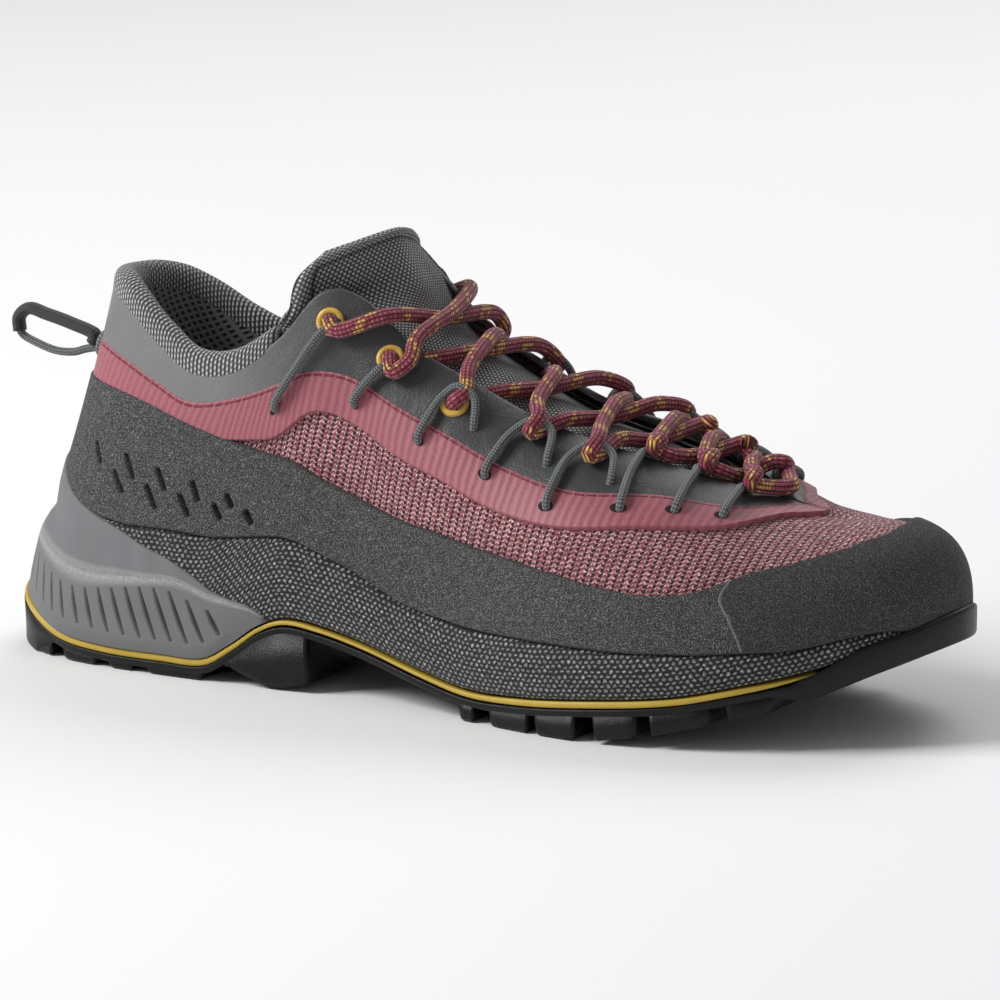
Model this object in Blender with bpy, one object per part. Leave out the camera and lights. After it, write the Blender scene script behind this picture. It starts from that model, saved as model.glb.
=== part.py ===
"""Right approach shoe, women's EU 38, standing empty on its sole.

Frame: +X to the toe, -Y to the outer (lateral) side, +Z up. The origin is on the
floor, under the middle of the heel lugs. Everything is worked out from one last:
sections that run up from the sole edge to the collar, the throat or the crown of
the vamp, all round the shoe from the back of the heel.
"""
import math

import bmesh
import bpy
import numpy as np

MM = 0.001

# Driving sizes of the shoe
LENGTH = 268 * MM             # back of the heel to the tip of the toe, at the sole edge
BALL_WIDTH = 97 * MM          # across the ball of the foot
COLLAR_HEIGHT = 98 * MM       # back of the collar above the floor
ARCH_HEIGHT = 18 * MM         # top of the sole unit under the arch
TOE_SPRING = 25.5 * MM        # underside of the toe tip above the floor
HEEL_SEAT = 0.134 * LENGTH    # from the back of the heel to the middle of its lugs
HALF_BALL = BALL_WIDTH / 2

# Layers, from the last outwards
GAP = 0.3 * MM                # clearance between pieces that lie on each other
EDGE_GAP = 0.15 * MM          # each piece's own half of the gap at a shared edge
KNIT_OUT = -0.8 * MM          # outer face of the knitted upper
UPPER_WALL = 2.0 * MM
PANEL_WALL = 1.2 * MM         # rand, toe cap and side wrap
FILM_WALL = 0.9 * MM          # side band and eyestay
PAD_WALL = 3.0 * MM           # collar foam
PANEL_IN = KNIT_OUT + GAP
UPPER_IN = KNIT_OUT - UPPER_WALL
PAD_OUT = UPPER_IN - GAP

# Sole unit
STRIPE_THICK = 1.7 * MM
SOLE_LEDGE = 1.1 * MM         # how far the sole edge stands out from the last
OUTSOLE_THICK = 2.0 * MM
LEAST_RUBBER = 2.3 * MM        # from the ground to the sole line, where it is thinnest
LUG_SINK = 1.0 * MM           # how far a lug reaches up into the outsole
LUG_TAPER = 0.8 * MM          # how much narrower a lug is at the floor, each side
BUMPER_OUT = 2.6 * MM         # face of the toe bumper from the last
BUMPER_IN = 1.0 * MM
INSOLE_THICK = 4.0 * MM
INSOLE_GAP = 0.6 * MM

# Heel cup
CUP_IN = 1.4 * MM             # inner face of the heel cup from the last
CUP_SLOT_WIDTH = 1.1 * MM
CUP_SLOT_DEPTH = 0.9 * MM
CUP_SLOT_LENGTH = 9.0 * MM

# Lacing
LACE_DIAMETER = 4.4 * MM
CORD_DIAMETER = 2.2 * MM
EYELET_DIAMETER = 7.4 * MM
EYELET_HOLE = 4.0 * MM
EYELET_THICK = 1.1 * MM
LACE_RISE = 5.2 * MM          # middle of the lace above the last at each turn
TONGUE_THICK = 4.5 * MM
TONGUE_DEPTH = 4.0 * MM       # top of the tongue below the last, under the eyestay

# Heel pull loop
SLEEVE_DIAMETER = 4.2 * MM
PULL_DIAMETER = 2.4 * MM

# The last, heel to toe: one row for each section. edge_* is where it leaves the sole,
# top_* where it ends above. Columns: edge_along, lateral, medial, top_along, top_gap,
# top_height, lean, rise, over, drop, medial_lift. Along are shares of LENGTH, heights
# (top_height, rise, drop, medial_lift) of COLLAR_HEIGHT, the others of HALF_BALL.
LAST = (
    (0.003, 0.000, 0.000, 0.093, 0.000, 1.000, -0.227, 0.265, 0.124, 0.286, 0.000),
    (0.015, 0.340, 0.340, 0.104, 0.206, 1.005, -0.206, 0.265, 0.124, 0.286, -0.010),
    (0.041, 0.526, 0.526, 0.127, 0.351, 0.995, -0.144, 0.265, 0.124, 0.286, -0.020),
    (0.086, 0.649, 0.639, 0.157, 0.454, 0.954, -0.062, 0.265, 0.103, 0.265, -0.026),
    (0.142, 0.711, 0.701, 0.194, 0.526, 0.888, -0.010, 0.265, 0.082, 0.235, -0.026),
    (0.205, 0.732, 0.711, 0.235, 0.588, 0.832, 0.000, 0.265, 0.062, 0.214, -0.015),
    (0.269, 0.742, 0.691, 0.284, 0.608, 0.847, 0.000, 0.265, 0.062, 0.224, 0.000),
    (0.332, 0.742, 0.670, 0.332, 0.567, 0.939, 0.000, 0.265, 0.082, 0.245, 0.010),
    (0.388, 0.742, 0.660, 0.369, 0.485, 1.061, 0.000, 0.286, 0.124, 0.245, 0.015),
    (0.440, 0.763, 0.660, 0.407, 0.412, 1.051, 0.000, 0.306, 0.165, 0.184, 0.015),
    (0.493, 0.804, 0.680, 0.463, 0.392, 0.929, 0.010, 0.327, 0.247, 0.102, 0.005),
    (0.549, 0.856, 0.722, 0.526, 0.361, 0.842, 0.031, 0.327, 0.330, 0.051, 0.000),
    (0.608, 0.928, 0.794, 0.597, 0.340, 0.755, 0.062, 0.327, 0.392, 0.031, 0.000),
    (0.672, 0.990, 0.876, 0.672, 0.320, 0.699, 0.082, 0.327, 0.454, 0.010, 0.000),
    (0.735, 1.000, 0.948, 0.743, 0.247, 0.648, 0.082, 0.306, 0.495, 0.000, 0.000),
    (0.795, 0.948, 0.979, 0.795, 0.113, 0.600, 0.072, 0.286, 0.536, 0.000, 0.000),
    (0.851, 0.835, 0.948, 0.828, 0.000, 0.567, 0.062, 0.265, 0.536, 0.000, 0.000),
    (0.899, 0.660, 0.856, 0.851, 0.000, 0.553, 0.052, 0.255, 0.495, -0.005, 0.000),
    (0.940, 0.464, 0.732, 0.866, 0.000, 0.545, 0.041, 0.245, 0.454, -0.010, 0.000),
    (0.974, 0.227, 0.546, 0.877, 0.000, 0.540, 0.041, 0.245, 0.412, -0.024, 0.000),
    (0.996, -0.186, 0.186, 0.881, 0.000, 0.539, 0.041, 0.245, 0.412, -0.031, 0.000),
)
TOE = len(LAST) - 1           # section number of the toe tip; the heel is section 0
RING = 2 * TOE                # sections TOE to RING run back along the medial side
CROWN_SWING = 0.124           # sideways shift of the vamp crown to the medial side
CROWN_START = 0.373
CROWN_END = 0.881

# The sole line under the midsole: share of LENGTH, height as a share of ARCH_HEIGHT
SOLE_LINE = (
    (-0.030, 1.111), (0.000, 0.917), (0.037, 0.639), (0.084, 0.356), (0.142, 0.267),
    (0.215, 0.256), (0.263, 0.278), (0.295, 0.544), (0.325, 0.856), (0.353, 1.006),
    (0.388, 0.967), (0.446, 0.800), (0.521, 0.522), (0.571, 0.394), (0.631, 0.417),
    (0.720, 0.550), (0.800, 0.689), (0.853, 0.861), (0.901, 1.028), (0.955, 1.278),
    (1.000, 1.500),
)

# The worn underside: share of LENGTH, height as a share of TOE_SPRING
GROUND = (
    (-0.010, 0.275), (0.010, 0.118), (0.030, 0.024), (0.055, 0.000), (0.300, 0.000),
    (0.690, 0.000), (0.728, 0.039), (0.765, 0.102), (0.802, 0.188), (0.854, 0.322),
    (0.896, 0.440), (0.933, 0.627), (0.978, 0.843), (1.015, 1.000),
)

# Panel lines, one row for each section 0 to 20: shares of the girth of the section,
# from the sole edge upwards. Columns: foot, rand_low, rand_top, band_low, band_top
LINES = (
    (0.16, 0.380, 0.710, 0.725, 0.820),
    (0.16, 0.380, 0.715, 0.730, 0.825),
    (0.16, 0.382, 0.730, 0.745, 0.838),
    (0.17, 0.384, 0.765, 0.780, 0.857),
    (0.18, 0.397, 0.800, 0.815, 0.876),
    (0.18, 0.430, 0.815, 0.830, 0.887),
    (0.17, 0.410, 0.755, 0.770, 0.895),
    (0.13, 0.300, 0.590, 0.643, 0.835),
    (0.10, 0.222, 0.455, 0.638, 0.765),
    (0.09, 0.192, 0.418, 0.626, 0.762),
    (0.09, 0.181, 0.441, 0.630, 0.790),
    (0.09, 0.194, 0.462, 0.623, 0.780),
    (0.09, 0.199, 0.459, 0.594, 0.752),
    (0.09, 0.186, 0.420, 0.576, 0.720),
    (0.08, 0.165, 0.372, 0.618, 0.775),
    (0.08, 0.150, 0.373, 0.673, 0.808),
    (0.07, 0.125, 0.462, 0.840, 0.925),
    (0.06, 0.104, 0.523, 0.900, 0.955),
    (0.05, 0.104, 0.567, 0.860, 0.935),
    (0.04, 0.080, 0.610, 0.860, 0.935),
    (0.04, 0.075, 0.650, 0.860, 0.935),
)

# Sections where the solids have a rib, heel to toe along one side
RIBS = (0, 0.5, 1, 1.5, 2, 3, 4, 5, 6, 6.8, 7.6, 8.3, 9, 10, 11, 12, 13, 14, 15, 15.7,
        16.6, 17.4, 18.2, 19, 19.6, 20)
TOE_SEAM = 15.7               # the rib on the seam between rand and toe cap
# How far the seam leans along the shoe: share of the girth, shift in sections
SEAM_LEAN = ((0.0, 0.5), (0.127, 0.36), (0.257, 0.0), (0.365, -0.26), (0.5, -0.1), (0.7, 0.0), (1.0, 0.0))
THROAT_TIP = 16.6             # first rib whose two sides meet on the crown
BAND_FRONT = 17.4             # rib where the side band ends over the vamp
COLLAR_CORNER = 6.8           # rib where the collar pad ends
WRAP_END = 19.6               # rib where the wrap runs out at the toe


def smooth(rows, x, column=1):
    """Value of one column where the first column is x, on a curve through the rows."""
    table = np.asarray(rows, float)
    xs = table[:, 0]
    ys = table[:, column]
    last = len(xs) - 1
    i = int(np.clip(np.searchsorted(xs, x) - 1, 0, last - 1))
    span = xs[i + 1] - xs[i]
    f = float(np.clip((x - xs[i]) / span, 0, 1))

    def slope(k):
        before = max(k - 1, 0)
        after = min(k + 1, last)
        return (ys[after] - ys[before]) / (xs[after] - xs[before])

    start = slope(i) * span
    end = slope(i + 1) * span
    f2 = f * f
    f3 = f2 * f
    return ((2 * f3 - 3 * f2 + 1) * ys[i] + (f3 - 2 * f2 + f) * start
            + (3 * f2 - 2 * f3) * ys[i + 1] + (f3 - f2) * end)


def spline(rows, r):
    """Row at r on a closed curve through the rows."""
    count = len(rows)
    i = math.floor(r)
    f = r - i
    a, b, c, d = (rows[(i + k) % count] for k in (-1, 0, 1, 2))
    return 0.5 * (2 * b + (c - a) * f + (2 * a - 5 * b + 4 * c - d) * f * f
                  + (3 * b - a - 3 * c + d) * f ** 3)


def ring_rows():
    """Sections all round the shoe in metres: heel, lateral side, toe, medial side."""
    rows = []
    for k in range(RING):
        side = -1 if k <= TOE else 1
        row = LAST[k if k <= TOE else RING - k]
        edge_y = -row[1] if side < 0 else row[2]
        swing = CROWN_SWING * np.clip((row[3] - CROWN_START) / (CROWN_END - CROWN_START), 0, 1)
        lift = row[10] if side > 0 else 0
        rows.append((row[0] * LENGTH, edge_y * HALF_BALL, row[3] * LENGTH,
                     swing * HALF_BALL, side * row[4] * HALF_BALL,
                     (row[5] + lift) * COLLAR_HEIGHT, row[6] * HALF_BALL,
                     row[7] * COLLAR_HEIGHT, row[8] * HALF_BALL, row[9] * COLLAR_HEIGHT))
    return np.array(rows)


RING_ROWS = ring_rows()
LINE_ROWS = np.array([LINES[k if k <= TOE else RING - k] for k in range(RING)])


def on_medial(r):
    return TOE < r % RING


def mirrored(r):
    return RING - r


def ground(x):
    return max(smooth(GROUND, x / LENGTH), 0) * TOE_SPRING


def sole_line(x):
    """Height of the sole edge, which keeps enough rubber over the ground."""
    return max(smooth(SOLE_LINE, x / LENGTH) * ARCH_HEIGHT, ground(x) + LEAST_RUBBER)


def outline(r, out=0.0):
    """Point of the sole edge on section r, moved outwards in plan."""
    here = spline(RING_ROWS, r)
    ahead = spline(RING_ROWS, r + 0.001)
    behind = spline(RING_ROWS, r - 0.001)
    normal = np.array([ahead[1] - behind[1], behind[0] - ahead[0]])
    normal /= np.linalg.norm(normal)
    return here[:2] + normal * out, normal


def section(r):
    """Four control points of the section curve."""
    row = spline(RING_ROWS, r)
    plan, normal = outline(r)
    gap = row[4]
    if (gap > 0) != on_medial(r):
        gap = 0.0
    foot_z = sole_line(row[0]) + STRIPE_THICK / 2 + GAP
    foot = np.array([plan[0], plan[1], foot_z])
    top = np.array([row[2], row[3] + gap, row[5]])
    first = foot + np.array([normal[0] * row[6], normal[1] * row[6], row[7]])
    ahead = 0.12 * max(normal[0], 0) * row[8]
    second = top + np.array([normal[0] * row[8], normal[1] * row[8], -row[9] - ahead])
    return foot, first, second, top


def on_curve(points, t):
    s = 1 - t
    return (s ** 3 * points[0] + 3 * s * s * t * points[1]
            + 3 * s * t * t * points[2] + t ** 3 * points[3])


KNOTS = np.linspace(0, 1, 33)
MEASURED = {}


def measured(r):
    """Control points of a section and its girth, measured along it."""
    key = round(r % RING, 5)
    if key not in MEASURED:
        points = section(key)
        walk = np.array([on_curve(points, t) for t in KNOTS])
        steps = np.linalg.norm(np.diff(walk, axis=0), axis=1)
        MEASURED[key] = (points, np.concatenate([[0], np.cumsum(steps)]))
    return MEASURED[key]


def on_last(r, g):
    """Point of the last on section r, at share g of its girth."""
    points, girth = measured(r)
    return on_curve(points, float(np.interp(g * girth[-1], girth, KNOTS)))


def girth_of(r):
    return measured(r)[1][-1]


def outward(r, g):
    """Unit normal of the last, clear of its ends where it is not defined."""
    level = min(max(g, 0.03), 0.96)
    along = on_last(r + 0.02, level) - on_last(r - 0.02, level)
    up = on_last(r, level + 0.02) - on_last(r, level - 0.02)
    normal = np.cross(along, up)
    return normal / np.linalg.norm(normal)


def skin(r, g, out):
    """Point at distance out from the last."""
    normal = outward(r, g)
    if g > 0.93 and THROAT_TIP <= min(r, mirrored(r)):
        other = outward(mirrored(r), g)
        blend = (g - 0.93) / 0.07 * 0.5
        normal = normal * (1 - blend) + other * blend
        normal /= np.linalg.norm(normal)
    return on_last(r, g) + normal * out


def line(r, column):
    return spline(LINE_ROWS, r)[column]


# Levels of the shared net of points, as (line below, line above, share between).
# Lines: -1 the sole edge, 0 foot, 1 rand_low, 2 rand_top, 3 band_low, 4 band_top, 5 top
LEVELS = ((-1, -1, 0), (0, 0, 0), (1, 1, 0), (1, 2, 0.34), (1, 2, 0.67), (2, 2, 0),
          (2, 3, 0.5), (3, 3, 0), (4, 4, 0), (4, 5, 0.5), (5, 5, 0))
FOOT, RAND_LOW, RAND_TOP, BAND_LOW, BAND_TOP, TOP = 1, 2, 5, 7, 8, 10


def level_share(r, level):
    low, high, share = LEVELS[level]
    values = []
    for which in (low, high):
        values.append(0.0 if which < 0 else 1.0 if which > 4 else line(r, which))
    return values[0] * (1 - share) + values[1] * share


SIDE_RIBS = list(RIBS)
ALL_RIBS = SIDE_RIBS + [mirrored(r) for r in reversed(SIDE_RIBS[1:-1])]


def leaned(rib, g):
    """Section number of a rib at girth share g: the toe seam leans along the shoe."""
    if abs(min(rib, mirrored(rib)) - TOE_SEAM) > 0.01:
        return rib
    shift = smooth(SEAM_LEAN, g)
    return rib + (shift if rib < TOE else -shift)


def net_point(index, level, out):
    rib = ALL_RIBS[index % len(ALL_RIBS)]
    g = level_share(rib, level)
    return skin(leaned(rib, g), g, out)


def new_object(name, verts, faces, material, sharp=35):
    mesh = bpy.data.meshes.new(name)
    mesh.from_pydata([tuple(v) for v in verts], [], faces)
    mesh.update()
    work = bmesh.new()
    work.from_mesh(mesh)
    bmesh.ops.recalc_face_normals(work, faces=work.faces)
    if work.calc_volume(signed=True) < 0:
        bmesh.ops.reverse_faces(work, faces=work.faces)
    work.to_mesh(mesh)
    work.free()
    mesh.shade_smooth()
    mesh.set_sharp_from_angle(angle=math.radians(sharp))
    mesh.materials.append(material)
    obj = bpy.data.objects.new(name, mesh)
    obj.location = (-HEEL_SEAT, 0, 0)
    bpy.context.scene.collection.objects.link(obj)
    return obj


def material(name, colour, roughness, metallic=0.0):
    made = bpy.data.materials.new(name)
    made.use_nodes = True
    shader = made.node_tree.nodes["Principled BSDF"]
    shader.inputs["Base Color"].default_value = (*colour, 1)
    shader.inputs["Roughness"].default_value = roughness
    shader.inputs["Metallic"].default_value = metallic
    return made


def thick_sheet(outer, inner, faces, tuck):
    """Closed solid between two faces of one net; tuck draws its open edges in."""
    outer = np.array(outer)
    inner = np.array(inner)
    directed = set()
    for face in faces:
        for a, b in zip(face, face[1:] + face[:1]):
            directed.add((a, b))
    rim = [(a, b) for a, b in directed if (b, a) not in directed]
    rim_points = {a for a, _ in rim}
    rim_edges = {frozenset(edge) for edge in rim}
    inward = {point: [] for point in rim_points}
    for a, b in directed:
        if a in inward and frozenset((a, b)) not in rim_edges:
            inward[a].append(b)
    for point in rim_points:
        if not inward[point]:
            inward[point] = [b for a, b in rim if a == point] + [a for a, b in rim if b == point]
    drawn_outer = outer.copy()
    drawn_inner = inner.copy()
    for net, drawn in ((outer, drawn_outer), (inner, drawn_inner)):
        for point, ends in inward.items():
            way = sum((net[e] - net[point]) / np.linalg.norm(net[e] - net[point]) for e in ends)
            drawn[point] += way / np.linalg.norm(way) * tuck
    used = sorted({v for face in faces for v in face})
    place = {v: k for k, v in enumerate(used)}
    count = len(used)
    verts = [drawn_outer[v] for v in used] + [drawn_inner[v] for v in used]
    solid = [tuple(place[v] for v in face) for face in faces]
    solid += [tuple(place[v] + count for v in reversed(face)) for face in faces]
    solid += [(place[b], place[a], place[a] + count, place[b] + count) for a, b in rim]
    return verts, solid


def split(corners, i):
    """Two triangles for one cell of the net, the same way in every layer."""
    a, b, c, d = corners
    pairs = ((a, b, c), (a, c, d)) if i < len(SIDE_RIBS) - 1 else ((a, b, d), (b, c, d))
    return [list(face) for face in pairs if len(set(face)) == 3]


def net_index(i, level):
    """Number of a net point; the two sides share their points along the crown."""
    count = len(ALL_RIBS)
    i %= count
    rib = ALL_RIBS[i]
    if level == TOP and min(rib, mirrored(rib)) >= THROAT_TIP and rib > TOE:
        i = count - i
    return i * len(LEVELS) + level


def panel(name, cells, inner, outer, look, tuck=EDGE_GAP):
    """A skin over the given cells of the net, between two distances from the last."""
    levels = len(LEVELS)
    outer_points = []
    inner_points = []
    for i in range(len(ALL_RIBS)):
        for level in range(levels):
            outer_points.append(net_point(i, level, outer(i, level) if callable(outer) else outer))
            inner_points.append(net_point(i, level, inner))
    for i in range(len(ALL_RIBS)):
        twin = net_index(i, TOP)
        own = i * levels + TOP
        if twin != own:
            for points in (outer_points, inner_points):
                shared = (points[own] + points[twin]) / 2
                points[own] = shared
                points[twin] = shared
    faces = []
    for i, level in cells:
        corners = (net_index(i, level), net_index(i + 1, level),
                   net_index(i + 1, level + 1), net_index(i, level + 1))
        faces += split(corners, i)
    verts, solid = thick_sheet(outer_points, inner_points, faces, tuck)
    return new_object(name, verts, solid, look)


def cells_between(first, last, low, high):
    """Cells from rib first round to rib last, and from level low to level high."""
    count = len(ALL_RIBS)
    start = ALL_RIBS.index(first)
    end = ALL_RIBS.index(last)
    steps = (end - start) % count or count
    return [((start + k) % count, level) for k in range(steps) for level in range(low, high)]


# Empty scene
for old in list(bpy.data.objects):
    bpy.data.objects.remove(old, do_unlink=True)

RUBBER = material("outsole_rubber", (0.012, 0.012, 0.013), 0.6)
STRIPE = material("stripe_rubber", (0.58, 0.36, 0.045), 0.5)
FOAM = material("eva_foam", (0.05, 0.05, 0.052), 0.75)
CUP_FOAM = material("cup_foam", (0.16, 0.16, 0.165), 0.65)
WRAP_MESH = material("wrap_mesh", (0.045, 0.047, 0.05), 0.9)
KNIT = material("rose_knit", (0.40, 0.13, 0.15), 0.9)
RAND_SKIN = material("rand_microfibre", (0.05, 0.052, 0.051), 0.8)
BAND_FILM = material("rose_film", (0.34, 0.085, 0.11), 0.6)
GREY_FILM = material("grey_film", (0.075, 0.077, 0.08), 0.5)
LINING = material("lining_mesh", (0.10, 0.10, 0.105), 0.95)
TONGUE_MESH = material("tongue_mesh", (0.12, 0.12, 0.125), 0.95)
INSOLE_FABRIC = material("insole_fabric", (0.03, 0.03, 0.032), 0.95)
LACE_BRAID = material("lace_braid", (0.20, 0.02, 0.035), 0.8)
CORD_BRAID = material("grey_cord", (0.10, 0.10, 0.105), 0.8)
EYELET_METAL = material("eyelet_enamel", (0.58, 0.36, 0.05), 0.4)


# Sole plates
# A plate is a ladder of cross rows, heel to toe, that closes in a point at each end.
ACROSS = 4


def cross_rows(edge_point, height):
    """Cross rows between the lateral and the medial edge, at heights by x and share."""
    rows = []
    for rib in SIDE_RIBS:
        left = edge_point(rib)
        if rib in (0, TOE):
            rows.append([left])
            continue
        right = edge_point(mirrored(rib))
        row = [left]
        for k in range(1, ACROSS):
            share = k / ACROSS
            at = left * (1 - share) + right * share
            row.append(np.array([at[0], at[1], height(at, abs(2 * share - 1))]))
        rows.append(row + [right])
    return rows


def ladder(out, height):
    """Cross rows of a flat plate whose edge stands out from the last in plan."""

    def edge_point(rib):
        plan = outline(rib, out(rib) if callable(out) else out)[0]
        return np.array([plan[0], plan[1], height(plan[0])])

    return cross_rows(edge_point, lambda at, side: height(at[0]))


def plate_from(top_rows, bottom_rows):
    """Closed solid between two ladders."""
    verts = []
    faces = []

    def add(rows):
        names = []
        for row in rows:
            names.append(list(range(len(verts), len(verts) + len(row))))
            verts.extend(row)
        return names

    def cover(names, turned):
        for a, b in zip(names, names[1:]):
            if len(a) == 1 or len(b) == 1:
                point, many = (a[0], b) if len(a) == 1 else (b[0], a)
                for p, q in zip(many, many[1:]):
                    faces.append((point, p, q) if (len(a) == 1) != turned else (point, q, p))
                continue
            for k in range(len(a) - 1):
                quad = (a[k], b[k], b[k + 1], a[k + 1])
                faces.append(quad[::-1] if turned else quad)

    def rim(names):
        left = [row[0] for row in names]
        right = [row[-1] for row in names[1:-1]]
        return left + right[::-1]

    top = add(top_rows)
    bottom = add(bottom_rows)
    cover(top, False)
    cover(bottom, True)
    rings = [rim(bottom), rim(top)]
    for low, high in zip(rings, rings[1:]):
        for k in range(len(low)):
            j = (k + 1) % len(low)
            faces.extend(split((low[k], low[j], high[j], high[k]), k))
    return verts, faces


# Outsole: a rubber plate, its lugs and the bumper that turns up over the toe
def outsole_top(x):
    return sole_line(x) - STRIPE_THICK / 2 - GAP


def outsole_bottom(x):
    """The plate's underside: thin, and solid rubber down to the ground at both ends."""
    thin = outsole_top(x) - OUTSOLE_THICK
    heel = np.clip((0.05 - x / LENGTH) / 0.03, 0, 1)
    toe = np.clip((x / LENGTH - 0.86) / 0.07, 0, 1)
    solid = max(heel, toe)
    return thin * (1 - solid) + ground(x) * solid


outsole_rows = plate_from(ladder(SOLE_LEDGE, outsole_top), ladder(SOLE_LEDGE, outsole_bottom))
outsole = new_object("outsole", *outsole_rows, RUBBER)


def edge_y(x, side):
    """Sole edge at x, on the lateral (-1) or medial (+1) side, by bisection."""
    low, high = 0.5, TOE - 0.2
    for _ in range(24):
        middle = (low + high) / 2
        ring = middle if side < 0 else mirrored(middle)
        if outline(ring, SOLE_LEDGE)[0][0] < x:
            low = middle
        else:
            high = middle
    ring = low if side < 0 else mirrored(low)
    return outline(ring, SOLE_LEDGE)[0][1]


# Lugs: from, to (shares of LENGTH), and across from -1 (lateral edge) to 1 (medial edge)
SIDE_LUGS = ((0.030, 0.075), (0.088, 0.135), (0.148, 0.180), (0.194, 0.262),
             (0.560, 0.582), (0.598, 0.648), (0.653, 0.702), (0.718, 0.766), (0.775, 0.833),
             (0.853, 0.903))
HEEL_LUG = (0.108, 0.160)     # one wide lug under the origin
MIDDLE_LUGS = ((0.055, 0.095), (0.173, 0.205), (0.218, 0.258),
               (0.575, 0.615), (0.628, 0.668), (0.681, 0.721), (0.734, 0.774), (0.790, 0.830))
BRAKE_LUG = (0.296, 0.384)
LUG_ROWS = ([(a, b, -1.0, -0.60) for a, b in SIDE_LUGS]
            + [(a, b, 0.60, 1.0) for a, b in SIDE_LUGS]
            + [(a, b, -0.50, -0.05) for a, b in MIDDLE_LUGS]
            + [(a, b, 0.05, 0.50) for a, b in MIDDLE_LUGS]
            + [(*HEEL_LUG, -0.50, 0.50)]
            + [(*BRAKE_LUG, -1.0, -0.30), (*BRAKE_LUG, 0.30, 1.0)])
LUG_STEP = 0.024              # longest straight run along a lug, share of LENGTH


def add_lug(work, start, end, near, far):
    pieces = max(1, round((end - start) / LUG_STEP))
    rows = []
    for k in range(pieces + 1):
        x = (start + (end - start) * k / pieces) * LENGTH
        left = edge_y(x, -1)
        right = edge_y(x, 1)
        middle = (left + right) / 2
        half = (right - left) / 2
        low_y = middle + near * half
        high_y = middle + far * half
        inset_x = LUG_TAPER if k == 0 else -LUG_TAPER if k == pieces else 0
        lateral = LUG_TAPER if near > -1 else LUG_TAPER * 0.4
        medial = LUG_TAPER if far < 1 else LUG_TAPER * 0.4
        top_z = outsole_bottom(x) + LUG_SINK
        bottom_z = min(ground(x), top_z - LUG_SINK * 1.5)
        start_lateral = low_y + (0.1 * MM if near > -1 else 0.05 * MM)
        start_medial = high_y - (0.1 * MM if far < 1 else 0.05 * MM)
        rows.append([work.verts.new(p) for p in (
            (x, start_lateral, top_z), (x, start_medial, top_z),
            (x + inset_x, high_y - medial, bottom_z), (x + inset_x, low_y + lateral, bottom_z))])
    for a, b in zip(rows, rows[1:]):
        for k in range(4):
            j = (k + 1) % 4
            work.faces.new((a[k], a[j], b[j], b[k]))
    work.faces.new(rows[0][::-1])
    work.faces.new(rows[-1])


def lug_block():
    work = bmesh.new()
    for row in LUG_ROWS:
        add_lug(work, *row)
    bmesh.ops.recalc_face_normals(work, faces=work.faces)
    mesh = bpy.data.meshes.new("lugs")
    work.to_mesh(mesh)
    work.free()
    obj = bpy.data.objects.new("lugs", mesh)
    obj.location = (-HEEL_SEAT, 0, 0)
    bpy.context.scene.collection.objects.link(obj)
    return obj


# Toe bumper: share of LENGTH at the sole edge, height above the sole line in shares
# of ARCH_HEIGHT
BUMPER = ((0.86, 0.03), (0.915, 0.05), (0.93, 0.09), (0.952, 0.17), (0.976, 0.20),
          (0.99, 0.24), (1.01, 0.30))
BUMPER_START = 16.6


def bumper_wall():
    """A wall that follows the sole edge round the toe, sunk into the outsole."""
    start = ALL_RIBS.index(min(SIDE_RIBS, key=lambda rib: abs(rib - BUMPER_START)))
    end = len(ALL_RIBS) - start
    rows = []
    for k in range(start, end + 1):
        rib = ALL_RIBS[k]
        inner = outline(rib, BUMPER_IN)[0]
        outer = outline(rib, BUMPER_OUT)[0]
        x = outline(rib)[0][0]
        edge = min(k - start, end - k)
        face = inner * 0.6 + outer * 0.4 if edge == 0 else outer
        rise = smooth(BUMPER, x / LENGTH) * ARCH_HEIGHT
        top = sole_line(x) + STRIPE_THICK / 2 + rise
        low_in = outsole_bottom(inner[0]) + LUG_SINK
        low_out = outsole_bottom(outer[0]) + LUG_SINK * 0.3
        inset = outline(rib, -2.0 * MM)[0]
        lip = outsole_top(x) - LUG_SINK * 0.4
        rows.append([(*inset, low_in), (*face, low_out), (*face, top - 0.4 * MM),
                     (*(face * 0.7 + inner * 0.3), top), (*inner, top - 0.2 * MM),
                     (*inner, lip + 0.02 * MM), (*inset, lip)])
    work = bmesh.new()
    made = [[work.verts.new(p) for p in row] for row in rows]
    for a, b in zip(made, made[1:]):
        for k in range(len(a)):
            j = (k + 1) % len(a)
            work.faces.new((a[k], a[j], b[j], b[k]))
    work.faces.new(made[0][::-1])
    work.faces.new(made[-1])
    bmesh.ops.recalc_face_normals(work, faces=work.faces)
    mesh = bpy.data.meshes.new("bumper")
    work.to_mesh(mesh)
    work.free()
    obj = bpy.data.objects.new("bumper", mesh)
    obj.location = (-HEEL_SEAT, 0, 0)
    bpy.context.scene.collection.objects.link(obj)
    return obj


def boolean(obj, other, operation):
    other.hide_render = True
    other.display_type = "WIRE"
    change = obj.modifiers.new(other.name, "BOOLEAN")
    change.operation = operation
    change.solver = "EXACT"
    change.object = other


boolean(outsole, lug_block(), "UNION")
boolean(outsole, bumper_wall(), "UNION")

# Stripe: a thin yellow plate between outsole and midsole, showing as a line all round
def stripe_out(rib):
    """At the toe the plate ends inside the bumper."""
    return SOLE_LEDGE if min(rib, mirrored(rib)) < BUMPER_START else KNIT_OUT


def stripe_top(x):
    return sole_line(x) + STRIPE_THICK / 2


def stripe_bottom(x):
    return sole_line(x) - STRIPE_THICK / 2


new_object("sole_stripe", *plate_from(ladder(stripe_out, stripe_top), ladder(stripe_out, stripe_bottom)), STRIPE)

# Midsole: foam up to the footbed, its side on the same net as the upper
FOOTBED_DISH = 1.2 * MM


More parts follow.
